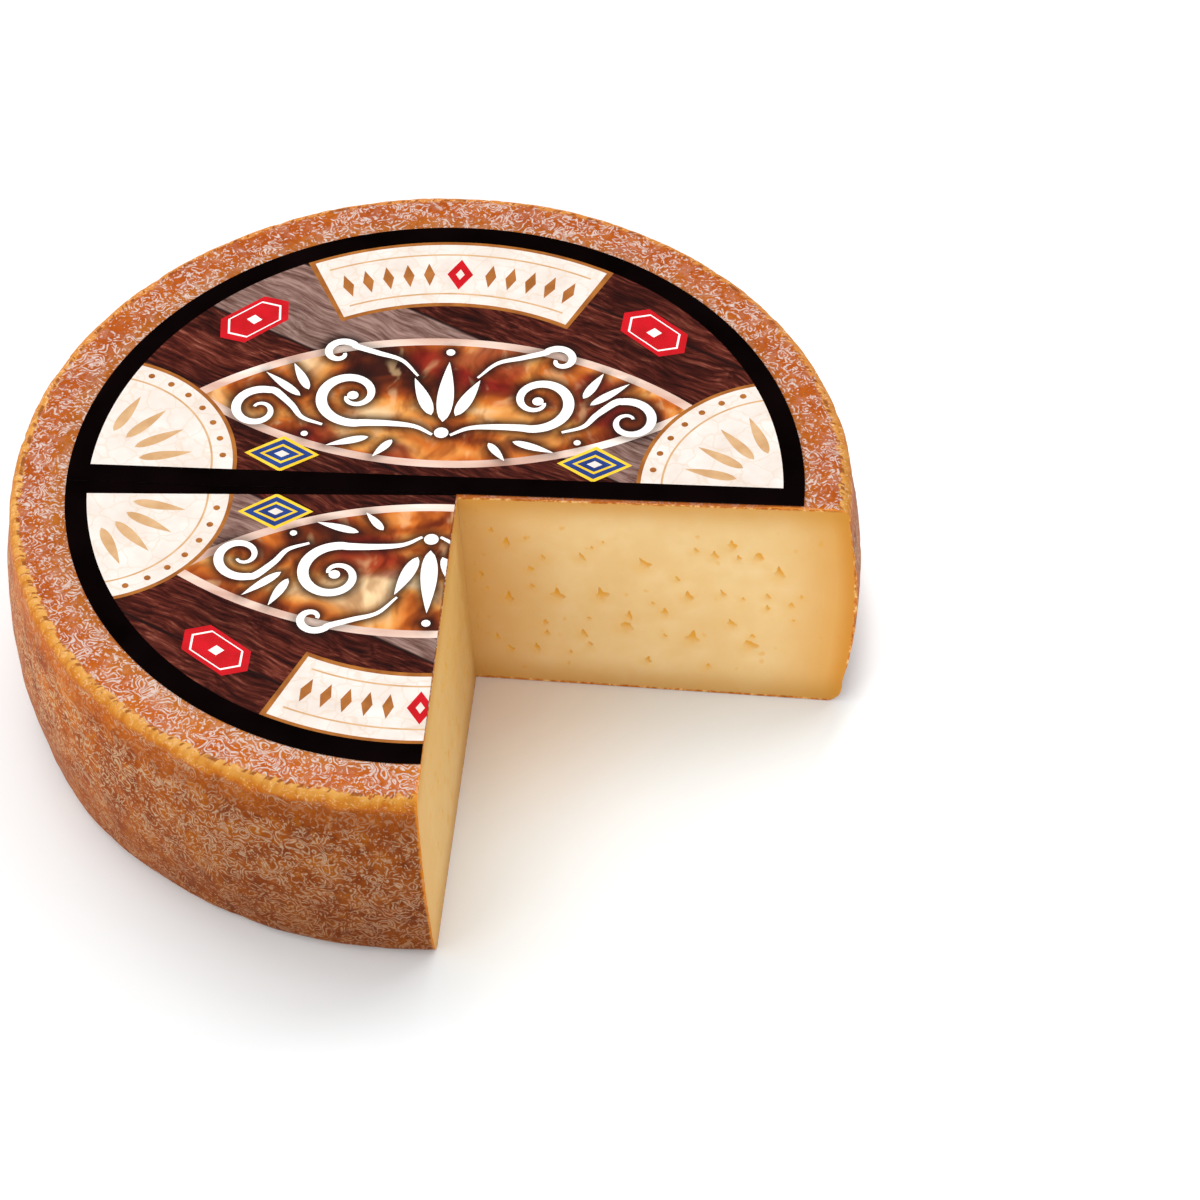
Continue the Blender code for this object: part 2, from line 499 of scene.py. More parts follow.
    looks = {
        "lip_band": spread(band_mask),
        "lip_crease": spread(np.clip(crease, 0, 1)),
        "lip_nick": spread(np.clip(nick, 0, 1)),
        "lip_way": spread(np.clip(v, -1, 4) + 1),
        "lip_scales": spread(np.repeat(scaly[None, :], n_rows, 0)),
        "cut_edge": spread(np.exp(-np.minimum(along, ARC - along) / (1.0 * MM))),
        "flank_way": spread(smooth01(A, LIP_START, LIP_END + 1 * MM)),
    }
    looks["flank_way"][1 + n_cols * (n_top + n_rows) :] = 1.0

    faces, materials = [], []
    for c in range(n_cols - 1):
        faces.append((0, index[0][c], index[0][c + 1]))
        faces.append((last, index[-1][c + 1], index[-1][c]))
    materials += [0] * len(faces)
    for low, high in zip(index[:-1], index[1:]):
        quads = np.stack((low[:-1], high[:-1], high[1:], low[1:]), axis=1)
        faces.extend(map(tuple, quads.tolist()))
        materials += [0] * (n_cols - 1)

    # the corner line, shared by both cut faces
    line_z = np.linspace(0, WHEEL_HEIGHT, 34)[1:-1]
    line = len(verts) + np.arange(len(line_z))
    for z, xy in zip(line_z, corner_at(line_z)):
        verts.append(np.array((*xy, z)))
    all_points = np.array(verts)

    extra_points, extra_looks, extra_glow, extra_amber_tail = [], [], [], []
    for name, angles, column, inwards, eyes in (
        ("far", FAR_FACE_ANGLE, 0, np.array((0.0, 1.0)), far_eyes()),
        ("near", NEAR_FACE_ANGLE, n_cols - 1, np.array((-1.0, 0.0)), near_eyes()),
    ):
        rim = [0] + [int(ring[column]) for ring in index] + [last]
        loop_ids = rim + list(line)
        loop = all_points[loop_ids]
        along_face = np.linalg.norm(loop[:, :2] - corner_at(loop[:, 2]), axis=1)
        loop_2d = np.stack((along_face, loop[:, 2]), axis=1) / MM
        loop_2d = loop_2d.astype(np.float32).astype(float)  # as the triangulation reads it
        points_2d, edges, depth, eye = cut_face_points(loop_2d * MM, eyes, 5 if name == "far" else 9)
        points_2d = points_2d / MM
        got = delaunay_2d_cdt(
            [Vector(p) for p in np.concatenate((loop_2d, points_2d))],
            [(i, (i + 1) % len(loop_2d)) for i in range(len(loop_2d))]
            + [(a + len(loop_2d), b + len(loop_2d)) for a, b in edges],
            [],
            0,
            1e-6,
            True,
        )
        out_verts, _, out_faces, source, _, _ = got
        flat = np.array([(p[0], p[1]) for p in out_verts])
        out_faces = np.array([f for f in out_faces if len(f) == 3])
        out_faces = out_faces[inside_polygon(flat[out_faces].mean(1), loop_2d)]
        ids = {}
        base = len(verts) + sum(len(p) for p in extra_points)
        fresh = []
        for i, came_from in enumerate(source):
            from_loop = [s for s in came_from if s < len(loop_2d)]
            if from_loop:
                ids[i] = loop_ids[from_loop[0]]
                continue
            ids[i] = base + len(fresh)
            if came_from:
                k = came_from[0] - len(loop_2d)
                fresh.append((out_verts[i][0], out_verts[i][1], depth[k], eye[k]))
            else:
                gaps = np.hypot(*(points_2d - flat[i]).T)
                k = int(gaps.argmin())
                fresh.append((out_verts[i][0], out_verts[i][1], depth[k], eye[k]))
        u, z, d, e = np.array(fresh).T
        u, z = u * MM, z * MM
        xy = corner_at(z) + face_way(z, angles) * u[:, None]
        surface = np.stack((xy[:, 0], xy[:, 1], z), axis=1)
        ripple = 0.07 * MM * value_noise(surface, 0.022, 31) + 0.03 * MM * value_noise(surface, 0.006, 37)
        xy = xy + inwards * (d + np.maximum(ripple, -0.04 * MM))[:, None]
        extra_points.append(np.stack((xy[:, 0], xy[:, 1], z), axis=1))
        extra_looks.append(e)
        # the paste catches more light just below an eye
        glow = np.zeros(len(u))
        for eye_u, eye_z, kind in eyes:
            size = EYE_SIZE[kind] * MM
            share = {"t": 0.15, "s": 0.4, "m": 0.8, "l": 1.0, "x": 1.0}[kind]
            gap = ((u - eye_u - 0.7 * size) / (2.0 * size)) ** 2 + ((z - eye_z + 1.9 * size) / (1.5 * size)) ** 2
            glow = np.maximum(glow, share * np.exp(-gap))
        extra_glow.append(glow)
        # and it is tinted amber a little below and to the left of an eye, where the eye runs out
        amber_tail = np.zeros(len(u))
        for eye_u, eye_z, kind in eyes:
            size = EYE_SIZE[kind] * MM
            gap = ((u - eye_u + 0.3 * size) / (1.35 * size)) ** 2 + ((z - eye_z + 0.45 * size) / (1.25 * size)) ** 2
            amber_tail = np.maximum(amber_tail, np.exp(-gap))
        extra_amber_tail.append(amber_tail)
        for face in out_faces:
            corners = [ids[i] for i in face]
            if len(set(corners)) < 3:
                continue
            faces.append(tuple(corners if name == "far" else corners[::-1]))
            materials.append(1)

    everything = np.concatenate([all_points] + extra_points)
    mesh = bpy.data.meshes.new("cheese")
    mesh.from_pydata(everything.tolist(), [], faces)
    mesh.polygons.foreach_set("material_index", np.array(materials, dtype=np.int32))
    n_line = len(line_z)
    n_extra = sum(len(p) for p in extra_points)
    for key, values in looks.items():
        whole = np.concatenate((values, np.zeros(n_line + n_extra)))
        layer = mesh.attributes.new(key, "FLOAT", "POINT")
        layer.data.foreach_set("value", whole.astype(np.float32))
    for key, values in (("eye_depth", extra_looks), ("eye_glow", extra_glow), ("eye_amber_tail", extra_amber_tail)):
        layer = mesh.attributes.new(key, "FLOAT", "POINT")
        layer.data.foreach_set(
            "value", np.concatenate((np.zeros(len(all_points)), *values)).astype(np.float32)
        )
    mesh.validate()
    bm = bmesh.new()
    bm.from_mesh(mesh)
    bmesh.ops.recalc_face_normals(bm, faces=bm.faces)
    loose = [e for e in bm.edges if len(e.link_faces) != 2]
    print("cheese: open or doubled edges", len(loose), "volume", round(bm.calc_volume() * 1e6), "cm3")
    bm.to_mesh(mesh)
    bm.free()
    mesh.shade_smooth()
    mesh.set_sharp_from_angle(angle=math.radians(42))
    print("cheese: triangles", sum(len(p.vertices) - 2 for p in mesh.polygons), "columns", n_cols, "rows", n_rows)
    cheese = bpy.data.objects.new("cheese", mesh)
    bpy.context.scene.collection.objects.link(cheese)
    return cheese


# ---------------------------------------------------------------- the eyes in the paste
# Along the far face from the corner line, height, and kind, in millimetres.
FAR_EYES = (
    (14.7, 58.0, "m"), (10.0, 63.4, "s"), (26.6, 52.7, "s"), (39.6, 53.5, "m"), (5.2, 44.4, "m"),
    (21.8, 47.6, "s"), (60.4, 51.6, "l"), (70.8, 46.4, "s"), (13.8, 34.7, "m"), (21.9, 40.3, "s"),
    (30.3, 36.9, "l"), (45.1, 37.9, "l"), (62.1, 35.8, "t"), (74.0, 39.0, "l"), (53.7, 29.5, "m"),
    (52.6, 25.5, "l"), (66.0, 32.0, "m"), (25.0, 25.2, "s"), (25.5, 20.8, "s"), (37.8, 21.2, "m"),
    (8.6, 17.9, "s"), (12.9, 13.0, "s"), (21.9, 14.0, "m"), (39.7, 17.1, "s"), (33.0, 13.2, "t"),
    (58.6, 11.7, "m"), (74.4, 21.9, "l"), (78.0, 58.4, "s"), (84.0, 56.6, "m"), (90.1, 60.6, "m"),
    (91.9, 56.0, "s"), (98.3, 56.7, "l"), (105.2, 50.3, "x"), (85.9, 41.0, "s"), (100.7, 41.0, "s"),
    (100.1, 36.0, "s"), (108.4, 37.7, "s"), (88.2, 28.8, "m"), (94.4, 24.2, "s"), (93.4, 20.7, "l"),
    (78.9, 10.8, "s"), (6.9, 38.9, "t"), (43.2, 57.7, "t"), (47.0, 60.3, "t"), (21.2, 60.4, "t"),
    (40.2, 28.1, "t"), (65.1, 22.5, "t"), (92.4, 39.5, "t"), (112.0, 41.3, "t"), (108.6, 31.7, "t"),
)
EYE_SIZE = {"t": 0.85, "s": 1.3, "m": 1.8, "l": 2.35, "x": 2.8}  # half widths
EYE_DEPTH = {"t": 0.12, "s": 0.24, "m": 0.44, "l": 0.62, "x": 0.75}


def far_eyes():
    return [(u * MM, z * MM, kind) for u, z, kind in FAR_EYES]


def near_eyes():
    """The other cut face: eyes strewn as on the far one."""
    dice = random.Random(7)
    kinds = "tttttssssssssssmmmmmmmmlllllx"
    eyes = []
    for kind in sorted(kinds * 2, key="xlmst".index)[6:]:
        for _ in range(60):
            u, z = dice.uniform(7, 116), dice.uniform(9, 64)
            if all(math.hypot(u - a, z - b) > 5.0 + EYE_SIZE[kind] for a, b, _k in eyes):
                eyes.append((u, z, kind))
                break
    return [(u * MM, z * MM, kind) for u, z, kind in eyes]


def cut_face_points(loop, eyes, seed):
    """Free points of a cut face: rings round each eye, and a loose net between them.
    Gives points (u, z), the edges to keep, each point's depth and how deep in an eye it is."""
    dice = random.Random(seed)
    points, edges, depth, eye = [], [], [], []
    for u, z, kind in eyes:
        half, deep = EYE_SIZE[kind] * MM * dice.uniform(0.88, 1.15), EYE_DEPTH[kind] * MM
        # ragged tips above, one soft tail below where the eye runs out
        down = math.radians(dice.uniform(-132, -92))
        tail = dice.uniform(0.35, 0.95)
        slim = dice.uniform(0.78, 1.12)
        lean = dice.uniform(-0.22, 0.22)
        tips = [
            (math.radians(dice.uniform(*span)), dice.uniform(0.30, 0.70), dice.uniform(0.48, 0.74))
            for span in ((-24, 22), (62, 122), (156, 206))
            if dice.random() < 0.88
        ]
        # an eye close by is kept clear of
        walls = []
        for other_u, other_z, other in eyes:
            gap = math.hypot(other_u - u, other_z - z)
            if 0 < gap < 8.0 * MM:
                room = gap * EYE_SIZE[kind] / (EYE_SIZE[kind] + EYE_SIZE[other]) * 0.90
                walls.append(((other_u - u) / gap, (other_z - z) / gap, room))
        n = {"t": 16, "s": 24, "m": 34, "l": 42, "x": 48}[kind]
        rings = ((1.15, 0.0), (1.0, 0.0), (0.90, 0.62), (0.78, 0.90), (0.52, 1.0), (0.26, 1.0))
        for t, sunk in rings:
            start = len(points)
            for i in range(n):
                a = 2 * math.pi * i / n
                rho = 0.60
                for at, tall, wide in tips:
                    off = abs((a - at + math.pi) % (2 * math.pi) - math.pi)
                    rho += tall * max(0.0, 1 - off / wide) ** 1.25 * (1.0 if t > 0.6 else 0.35)
                off = abs((a - down + math.pi) % (2 * math.pi) - math.pi)
                rho += tail * max(0.0, 1 - off / 0.95) ** 1.5
                x = half * rho * t * math.cos(a) * slim
                y = half * rho * t * math.sin(a) * 1.38
                x += lean * y
                for wall_u, wall_z, room in walls:
                    past = x * wall_u + y * wall_z - room * t / 1.15
                    if past > 0:
                        x, y = x - past * wall_u, y - past * wall_z
                run = math.cos(a - down) * t  # 1 at the tail, -1 at the steep side
                floor = max(0.0, min(1.0, 0.60 - 0.70 * run)) ** 1.1
                points.append((u + x, z + y))
                depth.append(deep * sunk * floor)
                eye.append(sunk * floor)
            if t > 0.6:
                edges += [(start + i, start + (i + 1) % n) for i in range(n)]
        points.append((u, z))
        depth.append(deep * 0.57)
        eye.append(0.57)
    # the net between the eyes
    centres = np.array([(u, z) for u, z, _ in eyes])
    sizes = np.array([EYE_SIZE[k] * MM for _, _, k in eyes])
    reach_u = loop[:, 0].max()
    step = 2.6 * MM
    row = 0
    z = 1.4 * MM
    while z < WHEEL_HEIGHT - 1.2 * MM:
        u = 1.5 * MM + (step / 2 if row % 2 else 0)
        while u < reach_u:
            pu, pz = u + dice.uniform(-0.3, 0.3) * MM, z + dice.uniform(-0.3, 0.3) * MM
            near_rim = np.hypot(loop[:, 0] - pu, loop[:, 1] - pz).min() < 1.0 * MM
            inside = pu < float(np.interp(pz, *rim_by_height(loop))) - 1.0 * MM
            clear = (np.hypot(centres[:, 0] - pu, centres[:, 1] - pz) > sizes * 1.8 + 0.4 * MM).all()
            if inside and clear and not near_rim:
                points.append((pu, pz))
                depth.append(0.0)
                eye.append(0.0)
            u += step
        z += step * 0.87
        row += 1
    return np.array(points), edges, depth, eye


def rim_by_height(loop):
    """The rim's reach at each height, for np.interp."""
    rim = loop[loop[:, 0] > 0.115]
    order = np.argsort(rim[:, 1])
    return rim[order, 1], rim[order, 0]


# ---------------------------------------------------------------- materials of the cheese
def rind_material():
    g = Graph("washed_rind_with_mould")
    at = g.place_mm()
    x, y, z = g.split(at)
    crease = g.attribute("lip_crease")
    nick = g.attribute("lip_nick")
    flank = g.attribute("flank_way")
    way = g.math("SUBTRACT", g.attribute("lip_way"), 1.0)  # 0 and 1 at the lip's edges
    ragged = g.math("SUBTRACT", g.noise(at, 2.1, 2.0, 0.6)["Fac"], 0.5)
    slow = g.math("SUBTRACT", g.noise(at, 9.0, 1.0)["Fac"], 0.5)
    inner = g.math("ADD", way, g.math("ADD", g.math("MULTIPLY", ragged, 0.75), g.math("MULTIPLY", slow, 0.5)))
    outer = g.math("ADD", way, g.math("ADD", g.math("MULTIPLY", ragged, 0.5), g.math("MULTIPLY", slow, 0.9)))
    band = g.math("MULTIPLY", g.step(inner, -0.04, 0.10), g.step(outer, 0.66, 1.15, 1.0, 0.0))
    band = g.math("MULTIPLY", band, g.step(way, -0.35, -0.05))
    # bowed creases across the lip, a few millimetres apart
    turn = g.math("MULTIPLY", g.math("ARCTAN2", y, x), 139.5)
    bow = g.math("POWER", g.math("ABSOLUTE", g.math("SUBTRACT", g.math("MULTIPLY", way, 2.0), 1.0)), 2.0)
    turn = g.math("ADD", turn, g.math("MULTIPLY", bow, -1.3))
    turn = g.math("ADD", turn, g.math("MULTIPLY", ragged, 0.9))
    round_lip = g.node("ShaderNodeCombineXYZ")
    g.put(round_lip.inputs[0], turn)
    marks = g.cells(round_lip.outputs[0], 4.4, "DISTANCE_TO_EDGE")["Distance"]
    strong = g.step(g.noise(round_lip.outputs[0], 5.0, 1.0)["Fac"], 0.38, 0.58, 0.25, 1.0)
    on_lip = g.math("MULTIPLY", g.step(way, -0.05, 0.08), g.step(way, 0.70, 1.05, 1.0, 0.0))
    folds = g.math("MULTIPLY", g.math("MULTIPLY", g.step(marks, 0.02, 0.12, 1.0, 0.0), on_lip), strong)

    # mould: threads in nested loops, arcs and dashes
    wide, wide_level = g.contour_lines(at, 4.9, 8.2, 0.60, 0.15, (0, 0, 0), 0.42)
    tight, tight_level = g.contour_lines(at, 2.9, 4.2, 0.56, 0.14, (31, 17, 53), 0.45)
    which = g.step(g.noise(g.vec("ADD", at, (9, 2, 4)), 7.5, 1.0)["Fac"], 0.46, 0.54)
    broken = g.noise(g.vec("ADD", at, (11, 57, 23)), 1.9, 1.0)["Fac"]
    broken_tight = g.noise(g.vec("ADD", at, (61, 7, 83)), 1.6, 1.0)["Fac"]
    crowd = g.noise(g.vec("ADD", at, (70, 3, 9)), 11.0, 2.0)["Fac"]
    # there is less of it on top away from the near edge
    off_front = g.math("MULTIPLY", g.step(y, -112.0, -50.0), g.math("SUBTRACT", 1.0, flank))
    wanted = g.math("ADD", g.step(crowd, 0.32, 0.60, 0.10, -0.12), g.math("MULTIPLY", flank, 0.025))
    wanted = g.math("ADD", wanted, g.math("MULTIPLY", off_front, 0.115))
    on_wide = g.step(g.math("SUBTRACT", broken, wanted), 0.40, 0.47)
    on_tight = g.step(g.math("SUBTRACT", broken_tight, wanted), 0.40, 0.47)
    threads = g.math("MAXIMUM", g.math("MULTIPLY", g.math("MULTIPLY", wide, which), on_wide),
                     g.math("MULTIPLY", g.math("MULTIPLY", tight, g.math("SUBTRACT", 1.0, which)), on_tight))
    # loose short bits of thread over both
    bits, _level = g.contour_lines(at, 3.3, 3.4, 0.46, 0.13, (5, 71, 29), 0.5)
    bits = g.math("MULTIPLY", bits, g.step(g.noise(g.vec("ADD", at, (23, 5, 7)), 2.2, 1.0)["Fac"], 0.53, 0.58))
    threads = g.math("MAXIMUM", threads, g.math("MULTIPLY", bits, 0.9))
    vary = g.step(g.noise(g.vec("ADD", at, (2, 44, 6)), 1.3, 1.0)["Fac"], 0.30, 0.62, 0.55, 1.0)
    threads = g.math("MULTIPLY", threads, vary)
    spots = g.cells(g.vec("ADD", at, (3, 91, 5)), 1.25, "F1")
    dots = g.math("MULTIPLY", g.step(spots["Distance"], 0.13, 0.23, 1, 0),
                  g.step(g.split(spots["Color"])[0], 0.66, 0.70))
    grain = g.noise(at, 0.6, 2.0, 0.6)["Fac"]
    haze = g.math("MULTIPLY", g.step(g.noise(at, 4.0, 2.0, 0.6)["Fac"], 0.44, 0.70), g.step(grain, 0.36, 0.62, 0.4, 1))
    mould = g.math("MAXIMUM", threads, g.math("MULTIPLY", dots, 0.8))
    mould = g.math("MAXIMUM", mould, g.math("MULTIPLY", haze, g.math("SUBTRACT", 0.18, g.math("MULTIPLY", flank, 0.10))))
    # it stays thin just under the lip, and all but leaves the lip
    under = g.math("MULTIPLY", g.step(way, 1.0, 1.5), g.step(way, 1.7, 3.2, 1.0, 0.0))
    mould = g.math("MULTIPLY", mould, g.math("SUBTRACT", 1.0, g.math("MULTIPLY", under, 0.55)))
    mould = g.math("MULTIPLY", mould, g.math("SUBTRACT", 1.0, g.math("MULTIPLY", band, 0.90)))
    mould = g.math("MULTIPLY", mould, g.math("SUBTRACT", 1.0, nick), clamp=True)
    # low on the flank there is less mould, and its threads are painted darker there as painted shade
    low_flank_shade_and_thin_mould = g.math("MULTIPLY", flank, g.step(z, 48.0, 6.0))
    mould = g.math("MULTIPLY", mould, g.math("SUBTRACT", 1.0, g.math("MULTIPLY", low_flank_shade_and_thin_mould, 0.26)))
    mould_seen = g.math("MULTIPLY", mould, g.math("SUBTRACT", 0.92, g.math("MULTIPLY", flank, 0.08)))

    # the washed rind under it
    patchy = g.noise(at, 13.0, 3.0, 0.55)["Fac"]
    spotty = g.noise(g.vec("ADD", at, (14, 3, 77)), 5.0, 2.0, 0.55)["Fac"]
    fine = g.noise(at, 1.6, 3.0, 0.65)["Fac"]
    top = g.ramp(patchy, (0.30, srgb(176, 80, 8)), (0.50, srgb(188, 93, 14)), (0.70, srgb(194, 107, 26)))
    r = g.vec("LENGTH", g.vec("MULTIPLY", at, (1, 1, 0)))
    by_label = g.step(r, 122.5, 129.5, 0.50, 0.0)
    top = g.mix(by_label, top, srgb(178, 112, 44))
    side = g.ramp(patchy, (0.28, srgb(130, 52, 0)), (0.50, srgb(160, 74, 0)), (0.74, srgb(184, 98, 8)))
    side = g.mix(g.step(spotty, 0.54, 0.68, 0.0, 0.55), side, srgb(190, 108, 18))
    side = g.mix(g.step(spotty, 0.44, 0.30, 0.0, 0.55), side, srgb(112, 42, 0))
    # painted shade: the flank's base colour is painted darker towards the bottom
    low = g.step(z, 2.0, 62.0, 0.45, 0.0)
    side = g.mix(low, side, srgb(110, 43, 0))
    side = g.mix(g.step(way, 2.6, 1.0, 0.0, 0.6), side, srgb(188, 94, 6))
    top = g.mix(off_front, top, g.mix(1.0, top, (0.88, 0.81, 0.54, 1), "MULTIPLY"))
    base = g.mix(flank, top, side)
    base = g.mix(g.step(fine, 0.36, 0.66), g.mix(1.0, base, (0.84, 0.80, 0.74, 1), "MULTIPLY"), base)
    # painted shade: the flank and its threads are painted darker and more brown towards the near cut, where less light
    # falls
    painted_shade_near_cut = g.math("MULTIPLY", g.step(y, -40.0, -128.0), g.step(x, -120.0, -30.0))
    painted_shade_near_cut = g.math("MULTIPLY", painted_shade_near_cut, flank)
    base = g.mix(g.math("MULTIPLY", painted_shade_near_cut, 0.9), base, g.mix(1.0, base, (0.74, 0.76, 0.80, 1), "MULTIPLY"))
    threads_colour = g.mix(flank, srgb(212, 196, 188), srgb(190, 164, 132))
    threads_colour = g.mix(g.math("MULTIPLY", painted_shade_near_cut, 0.9), threads_colour, srgb(182, 148, 118))
    # painted shade: the threads are painted darker low on the flank
    threads_colour = g.mix(g.math("MULTIPLY", low_flank_shade_and_thin_mould, 0.55), threads_colour, srgb(176, 126, 88))
    colour = g.mix(mould_seen, base, threads_colour)
    # painted light: the flank is painted lighter on the wheel's left, where more light falls
    left = g.math("MULTIPLY", g.step(x, -50.0, -132.0), flank)
    colour = g.mix(left, colour, g.mix(1.0, colour, (1.17, 1.16, 1.06, 1), "MULTIPLY"))

    # the lip: ochre, paler on its upper side, blending into the orange below it
    lip_tone = g.noise(at, 4.5, 2.0)["Fac"]
    lip = g.ramp(g.math("ADD", way, g.math("MULTIPLY", g.math("SUBTRACT", lip_tone, 0.5), 1.1)),
                 (0.05, srgb(214, 158, 82)), (0.40, srgb(206, 140, 54)), (0.70, srgb(194, 116, 30)), (1.0, srgb(178, 90, 12)))
    behind = g.step(y, 0.0, 90.0, 0.0, 0.70)
    lip = g.mix(behind, lip, srgb(200, 116, 44))
    scaly = g.attribute("lip_scales")
    # painted shade: the lip is painted darker in its creases and folds
    lip = g.mix(g.math("MULTIPLY", crease, g.math("ADD", 0.15, g.math("MULTIPLY", scaly, 0.3)), clamp=True),
                lip, srgb(180, 100, 22))
    lip = g.mix(g.math("MULTIPLY", folds, g.math("ADD", 0.18, g.math("MULTIPLY", scaly, 0.30))), lip, srgb(170, 92, 18))
    flecks = g.step(g.noise(at, 1.0, 1.0)["Fac"], 0.60, 0.70, 0.0, 0.30)
    lip = g.mix(flecks, lip, srgb(244, 206, 150))
    lip = g.mix(g.math("MULTIPLY", g.math("MAXIMUM", bits, dots), g.step(y, -60.0, 60.0, 0.25, 0.7)), lip, srgb(240, 200, 160))
    colour = g.mix(band, colour, lip)
    # nicks and pits along the lip's upper edge, painted dark brown as painted shade in these hollows
    edge_near = g.step(g.math("ABSOLUTE", g.math("SUBTRACT", way, 0.16)), 0.10, 0.26, 1.0, 0.0)
    pits = g.cells(g.wander(at, 1.6, 0.7), 2.3, "F1")
    pit = g.math("MULTIPLY", g.step(pits["Distance"], 0.09, 0.19, 1, 0), g.step(g.split(pits["Color"])[0], 0.56, 0.60))
    pit = g.math("MULTIPLY", pit, edge_near)
    torn = g.math("MULTIPLY", nick, g.step(g.noise(at, 0.9, 1.0)["Fac"], 0.30, 0.60, 0.35, 1.0))
    notch = g.math("MULTIPLY", g.step(marks, 0.035, 0.085, 1.0, 0.0), g.step(g.math("ABSOLUTE", g.math("SUBTRACT", way, 0.10)), 0.06, 0.15, 1.0, 0.0))
    notch = g.math("MULTIPLY", notch, g.step(strong, 0.35, 0.75, 0.1, 1.0))
    hole = g.math("MAXIMUM", g.math("MULTIPLY", g.step(torn, 0.30, 0.70), 0.8), g.math("MAXIMUM", g.math("MULTIPLY", pit, 0.8), notch))
    colour = g.mix(g.math("MULTIPLY", hole, 0.80), colour, srgb(132, 60, 10))
    # little mould is left on the narrow strip between the far label and the cut
    strip = g.math("MULTIPLY", g.step(g.math("ABSOLUTE", g.math("ADD", y, 3.6)), 1.0, 1.6, 0.72, 0.0), g.step(x, 7.0, 10.0))
    strip = g.math("MULTIPLY", g.math("MULTIPLY", strip, g.step(r, 123.0, 125.0, 1.0, 0.0)), g.math("SUBTRACT", 1.0, flank))
    colour = g.mix(strip, colour, srgb(166, 86, 30))
    # painted shade: the rind under the thin gap between the two labels is painted near black, as it lies in shade
    gap = g.math("MULTIPLY", g.step(g.math("ABSOLUTE", g.math("ADD", y, 3.05)), 0.35, 0.60, 1.0, 0.0), g.step(x, 8.6, 9.2, 1.0, 0.0))
    gap = g.math("MULTIPLY", gap, g.step(x, -120.5, -120.1))
    colour = g.mix(gap, colour, srgb(10, 5, 4))
    # the knife left a thin amber edge
    cut = g.math("ADD", g.attribute("cut_edge"), g.math("MULTIPLY", ragged, 0.7))
    colour = g.mix(g.step(cut, 0.30, 0.75, 0.0, 0.75), colour, srgb(220, 134, 36))

    height = g.math("ADD", g.math("MULTIPLY", grain, 0.4), g.math("MULTIPLY", fine, 0.6))
    height = g.math("SUBTRACT", height, g.math("MULTIPLY", folds, 0.45))
    normal = g.bump(height, 0.00022, 0.75)
    rough = g.math("ADD", 0.55, g.math("MULTIPLY", mould_seen, 0.22))
    return g.finish(colour, rough, normal, Subsurface_Weight=0.06, Subsurface_Scale=0.001,
                    Subsurface_Radius=(1.0, 0.45, 0.2), Specular_IOR_Level=0.08)


